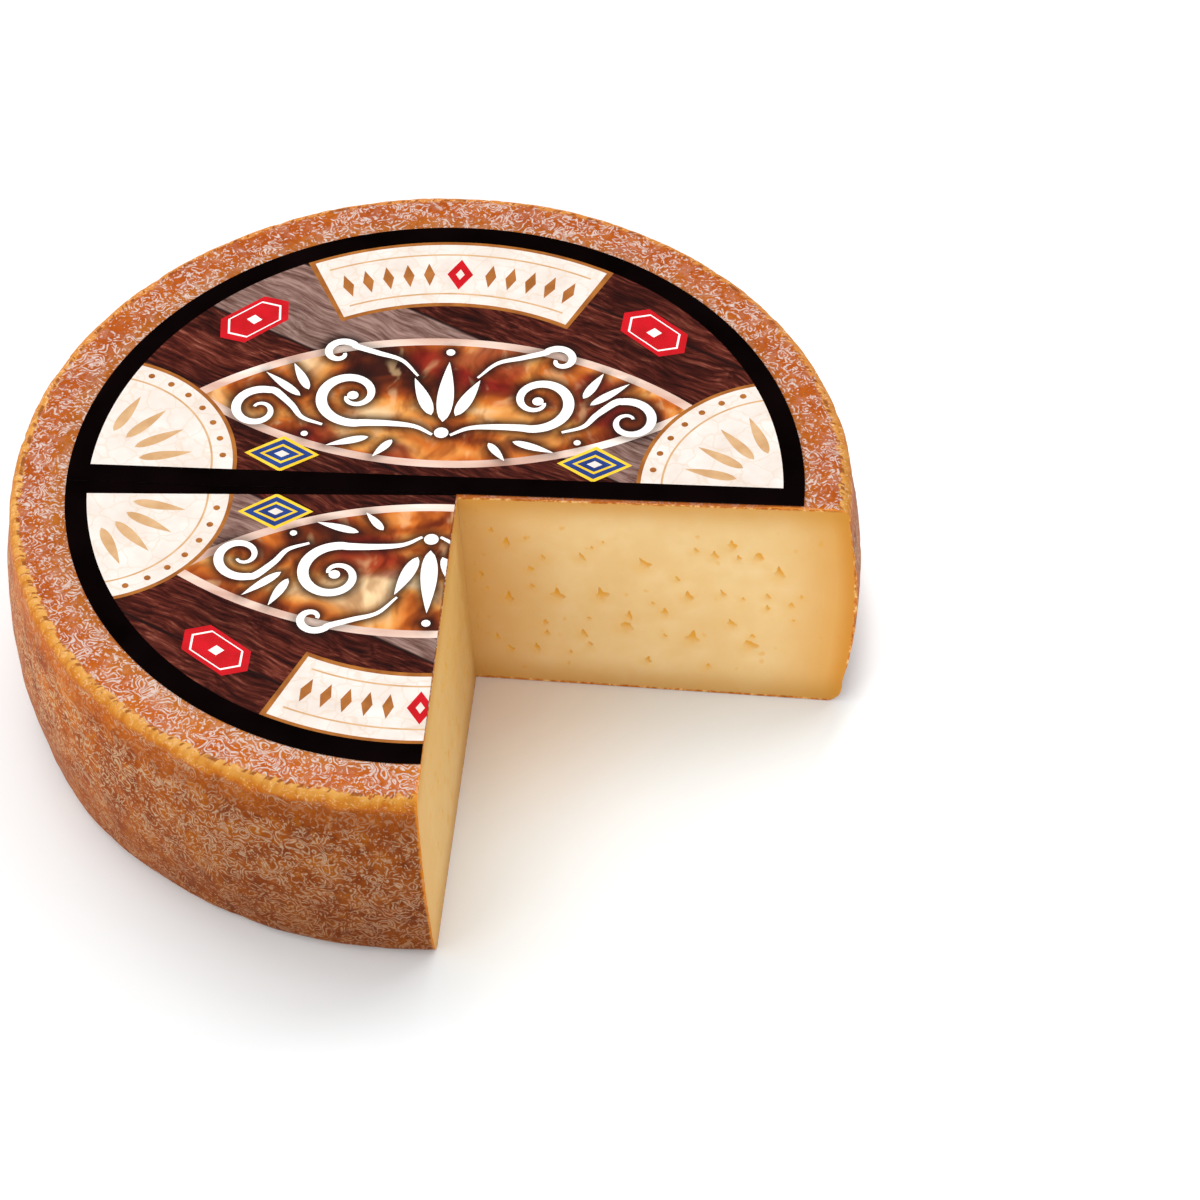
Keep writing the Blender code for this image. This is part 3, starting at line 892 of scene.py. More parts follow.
def paste_material():
    g = Graph("pale_paste")
    at = g.place_mm()
    x, y, z = g.split(at)
    r = g.vec("LENGTH", g.vec("MULTIPLY", at, (1, 1, 0)))
    share = g.math("DIVIDE", z, WHEEL_HEIGHT / MM, clamp=True)
    rind_r = g.math("ADD", FOOT_RADIUS / MM, g.math("MULTIPLY", share, (LIP_RADIUS - FOOT_RADIUS) / MM))
    rind_r = g.math("ADD", rind_r, g.math("MULTIPLY", g.math("SINE", g.math("MULTIPLY", share, math.pi)), FLANK_BULGE / MM))
    from_side = g.math("SUBTRACT", rind_r, r)
    from_top = g.math("SUBTRACT", WHEEL_HEIGHT / MM, z)
    wobble = g.math("MULTIPLY", g.math("SUBTRACT", g.noise(at, 2.2, 2.0)["Fac"], 0.5), 0.9)
    eye = g.attribute("eye_depth")

    cloud = g.noise(at, 24.0, 2.5, 0.5)["Fac"]
    soft = g.noise(at, 7.0, 2.0, 0.5)["Fac"]
    paste = g.ramp(cloud, (0.30, srgb(233, 196, 134)), (0.50, srgb(236, 201, 141)), (0.70, srgb(239, 208, 152)))
    paste = g.mix(g.step(soft, 0.38, 0.66, 0.0, 0.22), paste, srgb(230, 188, 120))
    # painted highlight: the paste is painted lighter just below each eye
    paste = g.mix(g.math("MULTIPLY", g.attribute("eye_glow"), 0.42), paste, srgb(242, 214, 164))
    # faint amber flecks: dots on the far face, drawn out by the knife on the near one
    on_far = g.step(x, 20.0, 60.0)  # the far face runs out along +X
    dots = g.cells(g.wander(g.vec("ADD", at, (0, 40, 9)), 3.0, 1.0), 6.5, "F1")
    dot = g.math("MULTIPLY", g.step(dots["Distance"], 0.05, 0.20, 1, 0), g.step(g.split(dots["Color"])[0], 0.35, 0.75, 0.0, 0.55))
    dot = g.math("MULTIPLY", dot, g.step(x, 10.0, 20.0))
    paste = g.mix(dot, paste, srgb(232, 172, 74))
    streak_at = g.vec("MULTIPLY", at, (1.0, 1.0, 0.22))
    streaks = g.step(g.noise(g.vec("ADD", streak_at, (5, 5, 61)), 1.25, 1.0)["Fac"], 0.66, 0.76, 0.0, 0.50)
    streaks = g.math("MULTIPLY", streaks, g.step(x, 22.0, 12.0))
    paste = g.mix(streaks, paste, srgb(226, 160, 62))

    # painted shade: the near cut face is painted a little darker and yellower than the far one, as less light falls on
    # it
    near_face_shade = g.step(x, 20.0, 12.0)
    paste = g.mix(near_face_shade, paste, g.mix(1.0, paste, (0.965, 0.935, 0.83, 1), "MULTIPLY"))
    rim_fade = g.step(from_side, 0.0, 32.0, 1.0, 0.0)
    rim_fade = g.math("MULTIPLY", g.math("POWER", rim_fade, 1.25), g.math("ADD", 0.30, g.math("MULTIPLY", on_far, 0.50)))
    paste = g.mix(rim_fade, paste, srgb(218, 152, 58))
    rim_dark = g.math("MULTIPLY", g.step(from_side, 0.5, 7.5, 1.0, 0.0), g.math("ADD", 0.20, g.math("MULTIPLY", on_far, 0.42)))
    paste = g.mix(rim_dark, paste, srgb(204, 128, 18))
    # darker towards the top and the bottom edge: partly the paste's own amber under the rind, partly painted shade
    top_fade = g.math("POWER", g.step(from_top, 0.4, 15.0, 1.0, 0.0), 2.0)
    paste = g.mix(g.math("MULTIPLY", top_fade, 0.72), paste, srgb(206, 144, 52))
    low_fade = g.math("POWER", g.step(z, 0.4, 16.0, 1.0, 0.0), 1.6)
    paste = g.mix(g.math("MULTIPLY", low_fade, 0.62), paste, srgb(190, 134, 50))
    # painted shade: the paste is painted darker by the corner line on both cut faces, where the two faces shade each
    # other
    corner_shade_reach = g.step(x, 10.0, 50.0, 0.55, 0.0)
    inner = g.math("MULTIPLY", corner_shade_reach, g.step(y, -22.0, -14.0))
    paste = g.mix(inner, paste, srgb(210, 148, 58))
    second = g.math("MULTIPLY", g.step(x, 9.0, 17.0, 1.0, 0.0), g.step(y, -14.0, -24.0, 0.0, 0.45))
    paste = g.mix(second, paste, srgb(216, 160, 72))
    eye_tint = g.step(eye, 0.02, 0.95, 0.0, 0.90)
    paste = g.mix(g.math("MULTIPLY", g.attribute("eye_amber_tail"), 0.36), paste, srgb(230, 174, 80))
    paste = g.mix(eye_tint, paste, srgb(228, 162, 46))

    nearest = g.math("MINIMUM", g.math("MINIMUM", from_side, from_top), z)
    crust_at = g.math("ADD", nearest, wobble)
    crust = g.step(crust_at, 0.45, 0.95, 1.0, 0.0)
    crust_tone = g.noise(at, 1.9, 2.0, 0.6)["Fac"]
    crust_colour = g.ramp(crust_tone, (0.34, srgb(176, 92, 22)), (0.52, srgb(210, 128, 48)), (0.66, srgb(240, 196, 128)))
    colour = g.mix(crust, paste, crust_colour)

    height = g.math("ADD", g.math("MULTIPLY", g.noise(at, 1.1, 3.0, 0.55)["Fac"], 0.35),
                    g.math("MULTIPLY", g.noise(streak_at, 3.2, 2.0)["Fac"], 0.4))
    normal = g.bump(height, 0.00025, 0.5)
    return g.finish(colour, 0.50, normal, Subsurface_Weight=0.22, Subsurface_Scale=0.002,
                    Subsurface_Radius=(1.0, 0.55, 0.22), Specular_IOR_Level=0.12)


cheese = build_cheese()
cheese.data.materials.append(rind_material())
cheese.data.materials.append(paste_material())
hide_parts("cheese_wheel")
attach(cheese, "root")


# ---------------------------------------------------------------- the printed paper
# The print is laid out in millimetres about the labels' common centre, with the straight
# edge below. It is painted in layers, each a list of closed outlines.
RING = 7.1
BAR = 7.5
SEAM = (LABEL_SEAM_Y - LABEL_CENTRE[1]) / MM
R_OUT = LABEL_RADIUS / MM
R_IN = R_OUT - RING


def arc_points(cx, cy, r, start, end, step=2.0):
    n = max(3, int(abs(end - start) / 360 * 2 * math.pi * r / step) + 2)
    turn = np.radians(np.linspace(start, end, n))
    return np.stack((cx + r * np.cos(turn), cy + r * np.sin(turn)), axis=1)


def smooth_curve(points, step=0.9):
    """A Catmull-Rom curve through the points, evenly stepped."""
    p = np.array(points, dtype=float)
    p = np.vstack((2 * p[0] - p[1], p, 2 * p[-1] - p[-2]))
    out = []
    for i in range(1, len(p) - 2):
        n = max(3, int(np.linalg.norm(p[i + 1] - p[i]) / step) + 1)
        t = np.linspace(0, 1, n, endpoint=False)[:, None]
        out.append(0.5 * (2 * p[i] + (p[i + 1] - p[i - 1]) * t + (2 * p[i - 1] - 5 * p[i] + 4 * p[i + 1] - p[i + 2]) * t**2
                          + (3 * p[i] - p[i - 1] - 3 * p[i + 1] + p[i + 2]) * t**3))
    out.append(p[-2][None, :])
    return np.vstack(out)


def ribbon(path, widths):
    """A stroke whose width follows its length; widths are half widths at even steps."""
    run = np.gradient(path, axis=0)
    run /= np.linalg.norm(run, axis=1)[:, None] + 1e-9
    side = np.stack((-run[:, 1], run[:, 0]), axis=1)
    at = np.linspace(0, 1, len(path))
    half = np.interp(at, np.linspace(0, 1, len(widths)), widths)[:, None]
    return np.vstack((path + side * half, (path - side * half)[::-1]))


def spiral(cx, cy, r0, r1, start, sweep):
    turn = np.radians(np.linspace(start, start + sweep, max(8, int(abs(sweep) / 14))))
    r = np.linspace(0, 1, len(turn)) ** 0.9 * (r1 - r0) + r0
    return np.stack((cx + r * np.cos(turn), cy + r * np.sin(turn)), axis=1)


def leaf(x0, y0, x1, y1, fat):
    base, tip = np.array((x0, y0), float), np.array((x1, y1), float)
    way = tip - base
    side = np.array((-way[1], way[0])) / np.linalg.norm(way)
    t = np.linspace(0, 1, 14)[:, None]
    wide = fat * np.sin(np.pi * t**0.7) ** 0.9
    mid = base + way * t
    return np.vstack((mid + side * wide, (mid - side * wide)[::-1][1:-1]))


def mirrored(shape):
    return (shape * (-1, 1))[::-1]


def flourish():
    """White scrollwork: two pairs of volutes with leaves, the same on both sides."""
    right = []
    first = np.vstack((np.array(((3.0, 24.0), (9.0, 27.5), (17.0, 28.5))), spiral(31, 41, 13.5, 2.2, -112, 455)))
    right.append(ribbon(smooth_curve(first), (0.5, 1.2, 1.7, 1.9, 1.8, 1.5, 1.2, 0.9, 0.6)))
    second = np.vstack((np.array(((40.0, 27.0), (47.0, 30.0), (51.0, 35.5))), spiral(62, 33, 10.0, 1.8, 122, -440)))
    right.append(ribbon(smooth_curve(second), (0.5, 1.1, 1.6, 1.6, 1.3, 1.0, 0.7, 0.5)))
    third = np.vstack((np.array(((10.0, 51.0), (16.0, 58.0), (24.0, 61.0))), spiral(37, 60.5, 6.4, 1.4, 150, -330)))
    right.append(ribbon(smooth_curve(third), (0.4, 1.0, 1.4, 1.3, 1.0, 0.6)))
    right.append(leaf(4.0, 33.0, 11.0, 50.0, 2.2))
    right.append(leaf(46.0, 43.0, 52.0, 55.0, 1.6))
    right.append(leaf(48.5, 40.0, 61.0, 50.5, 1.5))
    right.append(leaf(24.0, 22.0, 38.0, 17.5, 1.5))
    right.append(leaf(16.0, 21.0, 22.0, 13.0, 1.4))
    right.append(arc_points(31.0, 41.0, 1.9, 0, 345, 0.6))
    right.append(arc_points(45.5, 22.5, 1.2, 0, 345, 0.6))
    middle = [leaf(0, 30, 0, 58, 2.8), arc_points(0, 25.0, 2.4, 0, 345, 0.6), arc_points(0, 62.5, 1.5, 0, 345, 0.6)]
    return middle + right + [mirrored(s) for s in right]


def inflate(polygon, by):
    """A closed convex-ish outline pushed outwards."""
    nxt, prv = np.roll(polygon, -1, 0), np.roll(polygon, 1, 0)
    run = nxt - prv
    run /= np.linalg.norm(run, axis=1)[:, None] + 1e-9
    area = 0.5 * np.sum(polygon[:, 0] * nxt[:, 1] - nxt[:, 0] * polygon[:, 1])
    out = np.stack((run[:, 1], -run[:, 0]), axis=1) * (1 if area > 0 else -1)
    return polygon + out * by


def lens(cx, cy, wide, high):
    """A pointed oval, the overlap of two circles."""
    r = (wide**2 + high**2) / (2 * high)
    half = math.degrees(math.asin(wide / r))
    upper = arc_points(cx, cy + high - r, r, 90 - half, 90 + half)
    lower = arc_points(cx, cy - high + r, r, 270 - half, 270 + half)
    return np.vstack((upper, lower[1:-1]))


def ring_band(r0, r1, a0, a1):
    return np.vstack((arc_points(0, 0, r1, a0, a1), arc_points(0, 0, r0, a1, a0)))


def rhomb(cx, cy, w, h):
    return np.array(((cx - w, cy), (cx, cy - h), (cx + w, cy), (cx, cy + h)), float)


def print_layers():
    """(material, outlines) from the lowest layer up."""
    bottom = SEAM + BAR
    field = np.vstack((arc_points(0, 0, R_IN, math.degrees(math.asin(bottom / R_IN)),
                                  180 - math.degrees(math.asin(bottom / R_IN))),))
    layers = [("black", None), ("wood", [field])]
    oval = lens(0, 39.0, 86.0, 30.0)
    layers += [("rim", [oval]), ("amber", [lens(0, 39.0, 80.5, 26.8)])]
    # fans in the two corners
    for sign in (1, -1):
        def fan(r, sign=sign):
            whole = arc_points(sign * 116.0, bottom, r, 0, 358)
            return whole
        layers += [("tan", [fan(49.6)]), ("cream", [fan(48.2)]), ("tan_line", [fan(41.6)]), ("cream", [fan(40.9)])]
        beads = [arc_points(sign * 116.0 - sign * 44.9 * math.cos(math.radians(a)), bottom + 44.9 * math.sin(math.radians(a)), 1.15, 0, 340, 0.7)
                 for a in range(8, 90, 10)]
        layers += [("tan", beads)]
        rays = [leaf(sign * (116.0 - 17 * math.cos(math.radians(a))), bottom + 17 * math.sin(math.radians(a)),
                     sign * (116.0 - 35 * math.cos(math.radians(a))), bottom + 35 * math.sin(math.radians(a)), 1.9)
                for a in (12, 30, 48, 66)]
        layers += [("tan_line", rays)]
    # the arched band at the top
    layers += [("tan", [ring_band(84.4, R_IN + 1, 63.2, 116.8)]), ("cream", [ring_band(86.0, R_IN - 1.3, 64.2, 115.8)]),
               ("tan_line", [ring_band(90.0, 90.7, 66.5, 113.5), ring_band(108.6, 109.3, 66.0, 114.0)])]
    marks = []
    for k, a in enumerate(range(68, 113, 4)):
        c, s = math.cos(math.radians(a)), math.sin(math.radians(a))
        if a != 88 and a != 92:
            marks.append(rhomb(0, 0, 1.9, 5.4) @ np.array(((s, -c), (c, s))) + (99.6 * c, 99.6 * s))
    layers += [("brown", marks), ("red", [rhomb(0, 99.6, 4.4, 7.2)]), ("cream", [rhomb(0, 99.6, 1.5, 2.5)])]
    # red hexagons at both sides
    for sign in (1, -1):
        hexagon = np.array(((-14, 0), (-9, -7.0), (9, -7.0), (14, 0), (9, 7.0), (-9, 7.0)), float)
        turn = math.radians(-sign * 40)
        turned = hexagon @ np.array(((math.cos(turn), math.sin(turn)), (-math.sin(turn), math.cos(turn))))
        layers += [("red", [turned + (sign * 67.5, 75.0)])]
        inner = (turned * 0.78) + (sign * 67.5, 75.0)
        layers += [("white", [inner]), ("red", [(turned * 0.72) + (sign * 67.5, 75.0)]),
                   ("white", [rhomb(sign * 67.5, 75.0, 2.6, 2.2)])]
    # lozenge tiles low down, between the fans and the oval's tips
    for sign in (1, -1):
        cx, cy = sign * 52.0, 12.8
        layers += [("gold", [rhomb(cx, cy, 12.5, 8.2)]), ("blue", [rhomb(cx, cy, 10.6, 6.7)]),
                   ("gold", [rhomb(cx, cy, 7.4, 4.5)]), ("blue", [rhomb(cx, cy, 5.9, 3.4)]),
                   ("cream", [rhomb(cx, cy, 2.6, 1.6)])]
    layers += [("white", flourish())]
    return layers


INKS = ("black", "wood", "rim", "amber", "tan", "cream", "tan_line", "brown", "red", "white", "gold", "blue")


def build_label(name, sheet, turn, shift, z_low, z_high):
    """sheet is the paper's outline about the labels' centre; the print is turned and shifted on it."""
    c, s = math.cos(turn), math.sin(turn)
    matrix = np.array(((c, s), (-s, c)))
    layers = [(ink, None if shapes is None else [shape @ matrix + shift for shape in shapes]) for ink, shapes in print_layers()]

    verts, edges = [np.array(sheet)], []
    n = len(sheet)
    edges += [(i, (i + 1) % n) for i in range(n)]
    count = n
    for ink, shapes in layers:
        for shape in shapes or ():
            if not inside_polygon(shape, sheet).any():
                continue
            verts.append(shape)
            edges += [(count + i, count + (i + 1) % len(shape)) for i in range(len(shape))]
            count += len(shape)
    # nearness to the white strokes, for the soft dark shadow round them
    strokes = [shape for shape in layers[-1][1]]
    halo = []
    for stroke in strokes:
        for by in (0.9, 2.0, 3.6):
            ring = inflate(stroke, by)
            halo.append(ring[::2])
    halo = np.vstack(halo)
    net_x, net_y = np.meshgrid(np.arange(-122, 123, 4.0), np.arange(-122, 123, 4.0))
    net = np.stack((net_x.ravel(), net_y.ravel()), axis=1)
    free = np.vstack((halo, net))
    free = free[inside_polygon(free, inflate(np.array(sheet), -0.4))]
    verts.append(free)
    flat = np.vstack(verts)
    got = delaunay_2d_cdt([Vector(p) for p in flat], edges, [], 0, 1e-4, False)
    points = np.array([(p[0], p[1]) for p in got[0]])
    tris = np.array([f for f in got[2] if len(f) == 3])
    middle = points[tris].mean(1)
    keep = inside_polygon(middle, np.array(sheet))
    a, b, d = points[tris[:, 0]], points[tris[:, 1]], points[tris[:, 2]]
    area = np.abs((b[:, 0] - a[:, 0]) * (d[:, 1] - a[:, 1]) - (b[:, 1] - a[:, 1]) * (d[:, 0] - a[:, 0])) / 2
    keep &= area > 1e-7
    tris, middle = tris[keep], middle[keep]
    ink_of = np.zeros(len(tris), dtype=int)
    for ink, shapes in layers:
        for shape in shapes or ():
            ink_of[inside_polygon(middle, shape)] = INKS.index(ink)

    ink_of[~inside_polygon(middle, layers[1][1][0])] = INKS.index("black")

    used, tris = np.unique(tris, return_inverse=True)
    tris = tris.reshape(-1, 3)
    points = points[used]
    # distance to the strokes' outlines
    samples = np.vstack(strokes)
    gap = np.empty(len(points))
    for i in range(0, len(points), 2000):
        part = points[i : i + 2000]
        gap[i : i + 2000] = np.sqrt(((part[:, None, :] - samples[None, :, :]) ** 2).sum(-1)).min(1)
    shade = np.exp(-((gap / 2.6) ** 2))

    # the sheet: its printed face, its edge and its underside
    middle_xy = np.array(LABEL_CENTRE)
    xy = points * MM + middle_xy
    cockle = 0.05 * MM * value_noise(np.column_stack((xy, np.zeros(len(xy)))), 0.034, 51)
    top = np.column_stack((xy, z_high + cockle))
    counted = {}
    for t in tris:
        for i in range(3):
            key = (t[i], t[(i + 1) % 3])
            counted[key] = True
    rim = {a: b for (a, b) in counted if (b, a) not in counted}
    start = next(iter(rim))
    loop, here = [start], rim[start]
    while here != start:
        loop.append(here)
        here = rim[here]
    low = np.column_stack((xy[loop], np.full(len(loop), z_low)))
    faces = [tuple(t) for t in tris.tolist()]
    inks = ink_of.tolist()
    base = len(top)
    m = len(loop)
    for i in range(m):
        j = (i + 1) % m
        faces.append((loop[j], loop[i], base + i, base + j))
        inks.append(len(INKS))
    faces.append(tuple(base + i for i in range(m))[::-1])
    inks.append(len(INKS))
    mesh = bpy.data.meshes.new(name)
    mesh.from_pydata(np.vstack((top, low)).tolist(), [], faces)
    mesh.polygons.foreach_set("material_index", np.array(inks, dtype=np.int32))
    layer = mesh.attributes.new("print_shade", "FLOAT", "POINT")
    layer.data.foreach_set("value", np.concatenate((shade, np.zeros(m))).astype(np.float32))
    mesh.validate()
    bm = bmesh.new()
    bm.from_mesh(mesh)
    bmesh.ops.recalc_face_normals(bm, faces=bm.faces)
    print(name, "triangles", len(tris), "loose edges", len([e for e in bm.edges if len(e.link_faces) != 2]), "rim", m)
    bm.to_mesh(mesh)
    bm.free()
    label = bpy.data.objects.new(name, mesh)
    bpy.context.scene.collection.objects.link(label)
    return label


def far_sheet():
    rise = math.degrees(math.asin(SEAM / R_OUT))
    return arc_points(0, 0, R_OUT, rise, 180 - rise, 2.2)


def near_sheet():
    top_y = (LABEL_SEAM_Y - GAP - LABEL_CENTRE[1]) / MM
    rise = math.degrees(math.asin(top_y / R_OUT))
    slope = math.tan(math.radians(NEAR_FACE_ANGLE[0] + 90))

    def slice_x(y):
        world_y = y * MM + LABEL_CENTRE[1]
        return (CORNER_TOP[0] - LABEL_EDGE_INSET - (world_y - CORNER_TOP[1]) * slope - LABEL_CENTRE[0]) / MM

    y = -R_OUT
    for _ in range(8):
        y = -math.sqrt(R_OUT**2 - slice_x(y) ** 2)
    last = math.degrees(math.atan2(y, slice_x(y)))
    rim = arc_points(0, 0, R_OUT, -180 - rise, last, 2.2)
    return np.vstack(([(slice_x(top_y), top_y)], rim))


def ink_materials():
    made = {}

    def paper_relief(g, at, deep=0.00006):
        return g.bump(g.noise(at, 9.0, 3.0, 0.5)["Fac"], deep * 6, 0.35)

    def shaded(g, colour, share=0.9, dark=(0.012, 0.004, 0.003, 1)):
        return g.mix(g.math("MULTIPLY", g.attribute("print_shade"), share), colour, dark)

    g = Graph("print_black")
    at = g.place_mm()
    tone = g.ramp(g.noise(at, 20.0, 3.0)["Fac"], (0.3, srgb(3, 0, 0)), (0.7, srgb(11, 4, 4)))
    made["black"] = g.finish(tone, 0.45, paper_relief(g, at), Specular_IOR_Level=0.004)

    # dark boards, seen from above, their grain along each board
    g = Graph("print_dark_boards")
    at = g.place_mm(turn=math.radians(28))
    x, y, z = g.split(at)
    board = g.math("FLOOR", g.math("DIVIDE", y, 33.0))
    comb = g.node("ShaderNodeCombineXYZ")
    g.put(comb.inputs[0], g.math("MULTIPLY", board, 47.0))
    g.put(comb.inputs[2], g.math("MULTIPLY", board, 13.0))
    own = g.vec("ADD", at, comb.outputs[0])
    bent = g.wander(own, 22.0, 4.5)
    grain = g.noise(g.vec("MULTIPLY", bent, (0.085, 1.0, 1.0)), 1.55, 4.0, 0.66)["Fac"]
    cloud = g.noise(g.vec("MULTIPLY", own, (0.4, 1.0, 1.0)), 21.0, 2.0)["Fac"]
    wood = g.ramp(grain, (0.30, srgb(24, 4, 3)), (0.47, srgb(66, 20, 13)), (0.60, srgb(102, 44, 32)), (0.74, srgb(150, 88, 70)))
    wood = g.mix(g.step(cloud, 0.38, 0.66, 0.0, 0.62), wood, g.mix(1.0, wood, (0.34, 0.28, 0.27, 1), "MULTIPLY"))
    pale_board = g.step(g.math("PINGPONG", g.math("ADD", g.math("MULTIPLY", board, 0.37), 0.22), 0.5), 0.34, 0.42, 0.0, 0.62)
    weathered = g.ramp(grain, (0.30, srgb(92, 60, 52)), (0.46, srgb(140, 108, 98)), (0.62, srgb(178, 152, 142)))
    wood = g.mix(pale_board, wood, weathered)
    joint = g.math("PINGPONG", g.math("DIVIDE", y, 33.0), 0.5)
    seam = g.step(joint, 0.006, 0.028, 1.0, 0.0)
    wood = g.mix(g.math("MULTIPLY", seam, 0.9), wood, srgb(24, 8, 7))
    knots = g.cells(g.vec("MULTIPLY", bent, (0.55, 1.0, 1.0)), 24.0, "F1")["Distance"]
    wood = g.mix(g.step(knots, 0.05, 0.22, 0.7, 0.0), wood, srgb(30, 10, 9))
    made["wood"] = g.finish(shaded(g, wood, 0.85), 0.45, paper_relief(g, at), Specular_IOR_Level=0.03)

    g = Graph("print_cream_rim")
    at = g.place_mm()
    tone = g.ramp(g.noise(g.vec("MULTIPLY", at, (0.3, 1, 1)), 12.0, 3.0)["Fac"], (0.3, srgb(196, 150, 132)), (0.55, srgb(232, 204, 188)), (0.75, srgb(250, 238, 228)))
    made["rim"] = g.finish(shaded(g, tone, 0.6), 0.42, paper_relief(g, at), Specular_IOR_Level=0.06)

    # a warm field of amber and brown, as of something baked, with no picture in it
    g = Graph("print_amber_field")
    at = g.place_mm()
    bent = g.wander(at, 26.0, 12.0, 1.0)
    flow = g.noise(g.vec("MULTIPLY", bent, (0.5, 1.0, 1.0)), 19.0, 2.0, 0.45)["Fac"]
    amber = g.ramp(flow, (0.30, srgb(58, 18, 10)), (0.41, srgb(138, 58, 20)), (0.50, srgb(204, 108, 38)), (0.60, srgb(232, 158, 80)), (0.72, srgb(244, 208, 160)))
    rose = g.step(g.noise(g.vec("ADD", at, (31, 8, 2)), 24.0, 1.0)["Fac"], 0.54, 0.66, 0.0, 0.75)
    amber = g.mix(rose, amber, srgb(140, 22, 22))
    drips = g.noise(g.vec("MULTIPLY", bent, (1.0, 0.6, 1.0)), 6.5, 2.0, 0.5)["Fac"]
    amber = g.mix(g.step(drips, 0.32, 0.56), g.mix(1.0, amber, (0.56, 0.44, 0.36, 1), "MULTIPLY"), amber)
    amber = g.mix(g.step(drips, 0.58, 0.74, 0.0, 0.35), amber, srgb(246, 204, 150))
    made["amber"] = g.finish(shaded(g, amber, 0.88), 0.42, paper_relief(g, at), Specular_IOR_Level=0.04)

    g = Graph("print_cream")
    at = g.place_mm()
    vein_at = g.wander(at, 6.0, 3.0, 2.0)
    veins = g.cells(vein_at, 8.0, "DISTANCE_TO_EDGE")["Distance"]
    cloud = g.noise(at, 13.0, 3.0, 0.6)["Fac"]
    cream = g.ramp(cloud, (0.30, srgb(220, 206, 195)), (0.52, srgb(229, 218, 209)), (0.72, srgb(236, 228, 222)))
    cream = g.mix(g.step(veins, 0.0, 0.06, 0.32, 0.0), cream, srgb(212, 182, 148))
    made["cream"] = g.finish(shaded(g, cream, 0.5), 0.45, paper_relief(g, at), Specular_IOR_Level=0.1)

    for key, low, high in (
        ("tan", srgb(142, 80, 26), srgb(172, 106, 40)),
        ("tan_line", srgb(196, 152, 104), srgb(212, 172, 128)),
        ("brown", srgb(150, 88, 34), srgb(174, 108, 50)),
        ("red", srgb(184, 0, 14), srgb(204, 4, 24)),
        ("gold", srgb(236, 190, 36), srgb(246, 208, 60)),
        ("blue", srgb(24, 50, 112), srgb(34, 66, 136)),
        ("white", srgb(250, 247, 242), srgb(255, 253, 250)),
    ):
        g = Graph("print_" + key)
        at = g.place_mm()
        tone = g.ramp(g.noise(at, 7.0, 3.0)["Fac"], (0.35, low), (0.65, high))
        if key not in ("white", "red", "gold", "blue"):
            tone = shaded(g, tone, 0.5)
        made[key] = g.finish(tone, 0.42, paper_relief(g, at), Specular_IOR_Level=0.08)

    g = Graph("paper_edge")
    at = g.place_mm()
    tone = g.ramp(g.noise(at, 1.4, 3.0)["Fac"], (0.35, srgb(8, 5, 5)), (0.65, srgb(30, 22, 20)))
    made["edge"] = g.finish(tone, 0.6, paper_relief(g, at), Specular_IOR_Level=0.02)
    return made


inks = ink_materials()
far_label = build_label("far_half_label", far_sheet(), 0.0, (0.0, 0.0),
                        WHEEL_HEIGHT + 0.00010, WHEEL_HEIGHT + 0.00052)
near_label = build_label("near_label_rest", near_sheet(), math.pi + math.radians(2.3), (0.0, 1.4),
                         WHEEL_HEIGHT + 0.00006, WHEEL_HEIGHT + 0.00034)
for label, node, slot in (
    (far_label, "label_far_half", "label_whole"),
    (near_label, "label_near_rest", "label_sliced"),
):
    for ink in INKS:
        label.data.materials.append(inks[ink])
    label.data.materials.append(inks["edge"])
    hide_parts(node)
    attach(label, "root")


# ---------------------------------------------------------------- floor, light and camera
def floor_material():
    g = Graph("pale_floor")
    at = g.place_mm()
    tone = g.ramp(g.noise(at, 160.0, 2.0)["Fac"], (0.3, (0.895, 0.925, 0.935, 1)), (0.7, (0.91, 0.94, 0.95, 1)))
    x, y, z = g.split(at)
    away = g.vec("LENGTH", g.vec("MULTIPLY", at, (1, 1, 0)))
    # painted light: the floor glows faintly to the right of the wheel, where the wheel's shadow would fall, so no
    # shadow shows there
    lit = g.math("MULTIPLY", g.step(away, 136.0, 150.0, 0.0, 0.33), g.math("MULTIPLY", g.step(x, 60.0, 125.0), g.step(y, -160.0, -40.0)))
    lit = g.math("MULTIPLY", lit, g.step(away, 400.0, 240.0))
    # painted shade and painted warm bounce light: the floor is painted warmer and darker round the notch's corner
    warm = g.vec("LENGTH", g.vec("MULTIPLY", g.vec("ADD", at, (-22, 24, 0)), (1, 1, 0)))
    tone = g.mix(g.step(warm, 0.0, 75.0, 1.0, 0.0), tone, (0.90, 0.82, 0.74, 1))
    g.put(g.bsdf.inputs["Emission Strength"], lit)
    return g.finish(tone, 0.9, Specular_IOR_Level=0.1, Emission_Color=(1.0, 1.0, 1.0, 1.0))


floor_mesh = bpy.data.meshes.new("floor")
floor_mesh.from_pydata([(-6, -6, -0.0002), (6, -6, -0.0002), (6, 6, -0.0002), (-6, 6, -0.0002)], [], [(0, 1, 2, 3)])
floor = bpy.data.objects.new("floor", floor_mesh)
floor_mesh.materials.append(floor_material())
bpy.context.scene.collection.objects.link(floor)

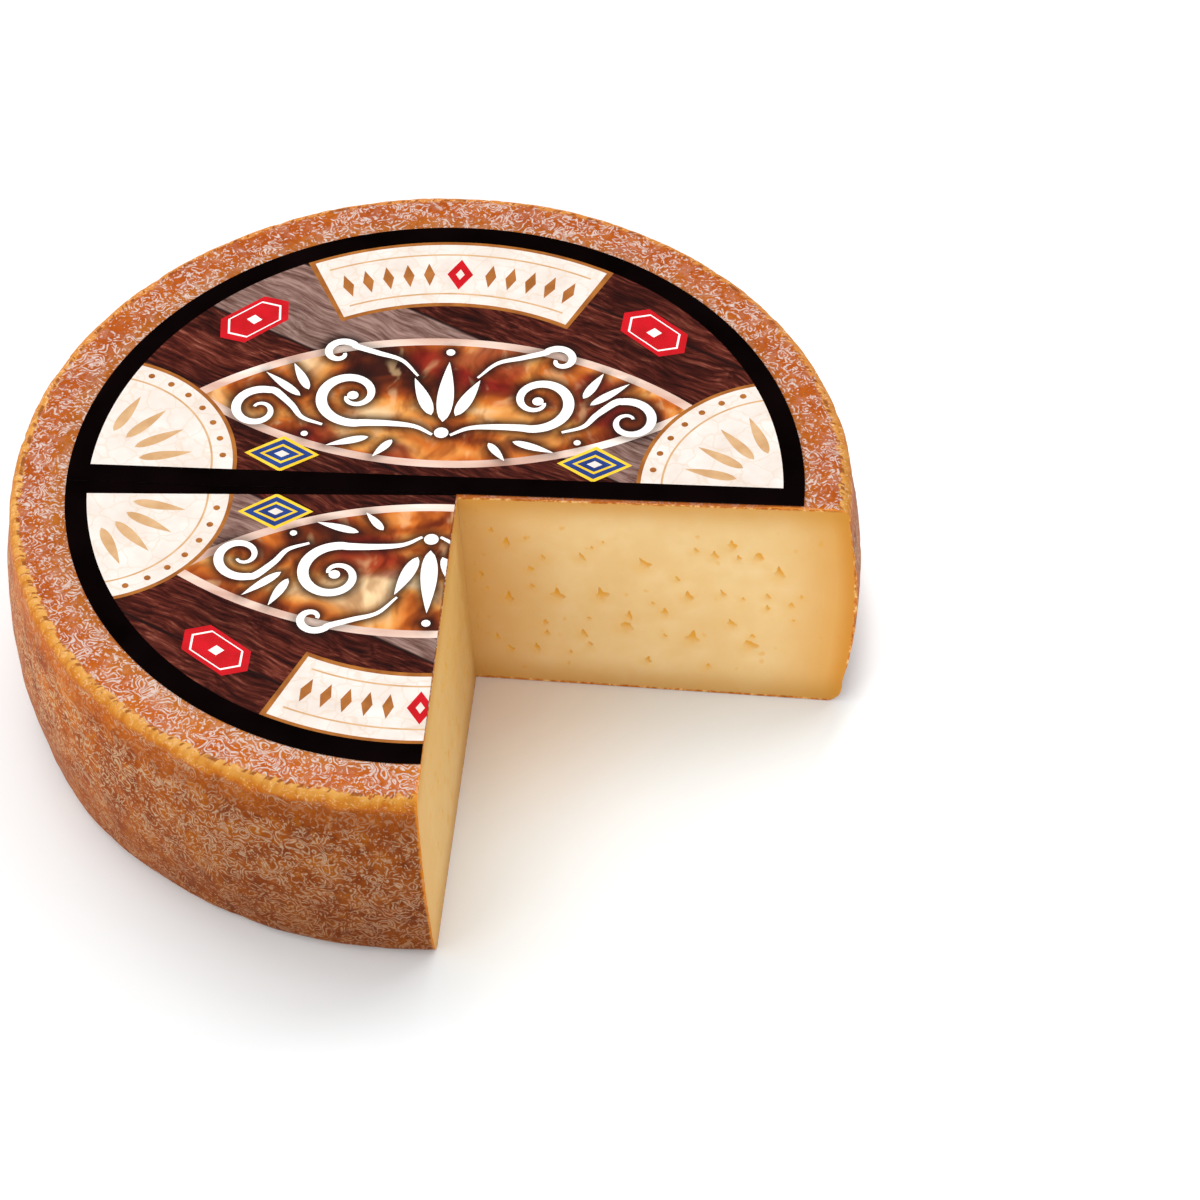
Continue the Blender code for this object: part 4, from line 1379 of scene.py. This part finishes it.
world = bpy.data.worlds.new("soft_surround")
bpy.context.scene.world = world
world.use_nodes = True
backdrop = world.node_tree.nodes["Background"]
backdrop.inputs["Color"].default_value = (1.0, 0.995, 0.99, 1.0)
backdrop.inputs["Strength"].default_value = 0.60


def area_light(name, where, aim, size, power, colour=(1, 1, 1)):
    lamp = bpy.data.lights.new(name, "AREA")
    lamp.shape = "DISK"
    lamp.size = size
    lamp.energy = power
    lamp.color = colour
    obj = bpy.data.objects.new(name, lamp)
    obj.location = where
    obj.rotation_mode = "QUATERNION"
    obj.rotation_quaternion = (Vector(aim) - Vector(where)).to_track_quat("-Z", "Y")
    bpy.context.scene.collection.objects.link(obj)
    return obj


for name, bearing, rise, power in (
    ("softbox_back_left", 135, 58, 12.4),
    ("softbox_back", 90, 58, 7.6),
    ("softbox_back_right", 45, 32, 9.0),
    ("softbox_left", 180, 32, 8.4),
    ("softbox_front_left", 225, 32, 7.0),
    ("softbox_front", 270, 32, 7.0),
):
    a, e = math.radians(bearing), math.radians(rise)
    place = (4.2 * math.cos(e) * math.cos(a), 4.2 * math.cos(e) * math.sin(a), 4.2 * math.sin(e))
    area_light(name, place, (0, 0, 0.03), 2.4, 4 * power)

camera_data = bpy.data.cameras.new("camera")
camera = bpy.data.objects.new("camera", camera_data)
bpy.context.scene.collection.objects.link(camera)
bpy.context.scene.camera = camera
camera_data.lens = 240.0
camera_data.sensor_width = 36.0
camera_data.clip_start = 0.05
camera_data.clip_end = 40.0
right = Vector((0.9969594779950955, 0.07340192703241413, -0.02615255902726751))
down = Vector((0.03596975999645296, -0.73124333785323, -0.6811676425161903))
ahead = Vector((-0.06912290214931767, 0.6781558360385872, -0.7316602260921805))
place = Vector((0.239883258525564, -1.8142460658501556, 1.9826278406848503))
camera.matrix_world = Matrix((
    (right.x, -down.x, -ahead.x, place.x),
    (right.y, -down.y, -ahead.y, place.y),
    (right.z, -down.z, -ahead.z, place.z),
    (0, 0, 0, 1),
))

scene_view = bpy.context.scene.view_settings
scene_view.view_transform = "Standard"
scene_view.look = "None"
scene_view.exposure = 0.0
scene_view.gamma = 1.0
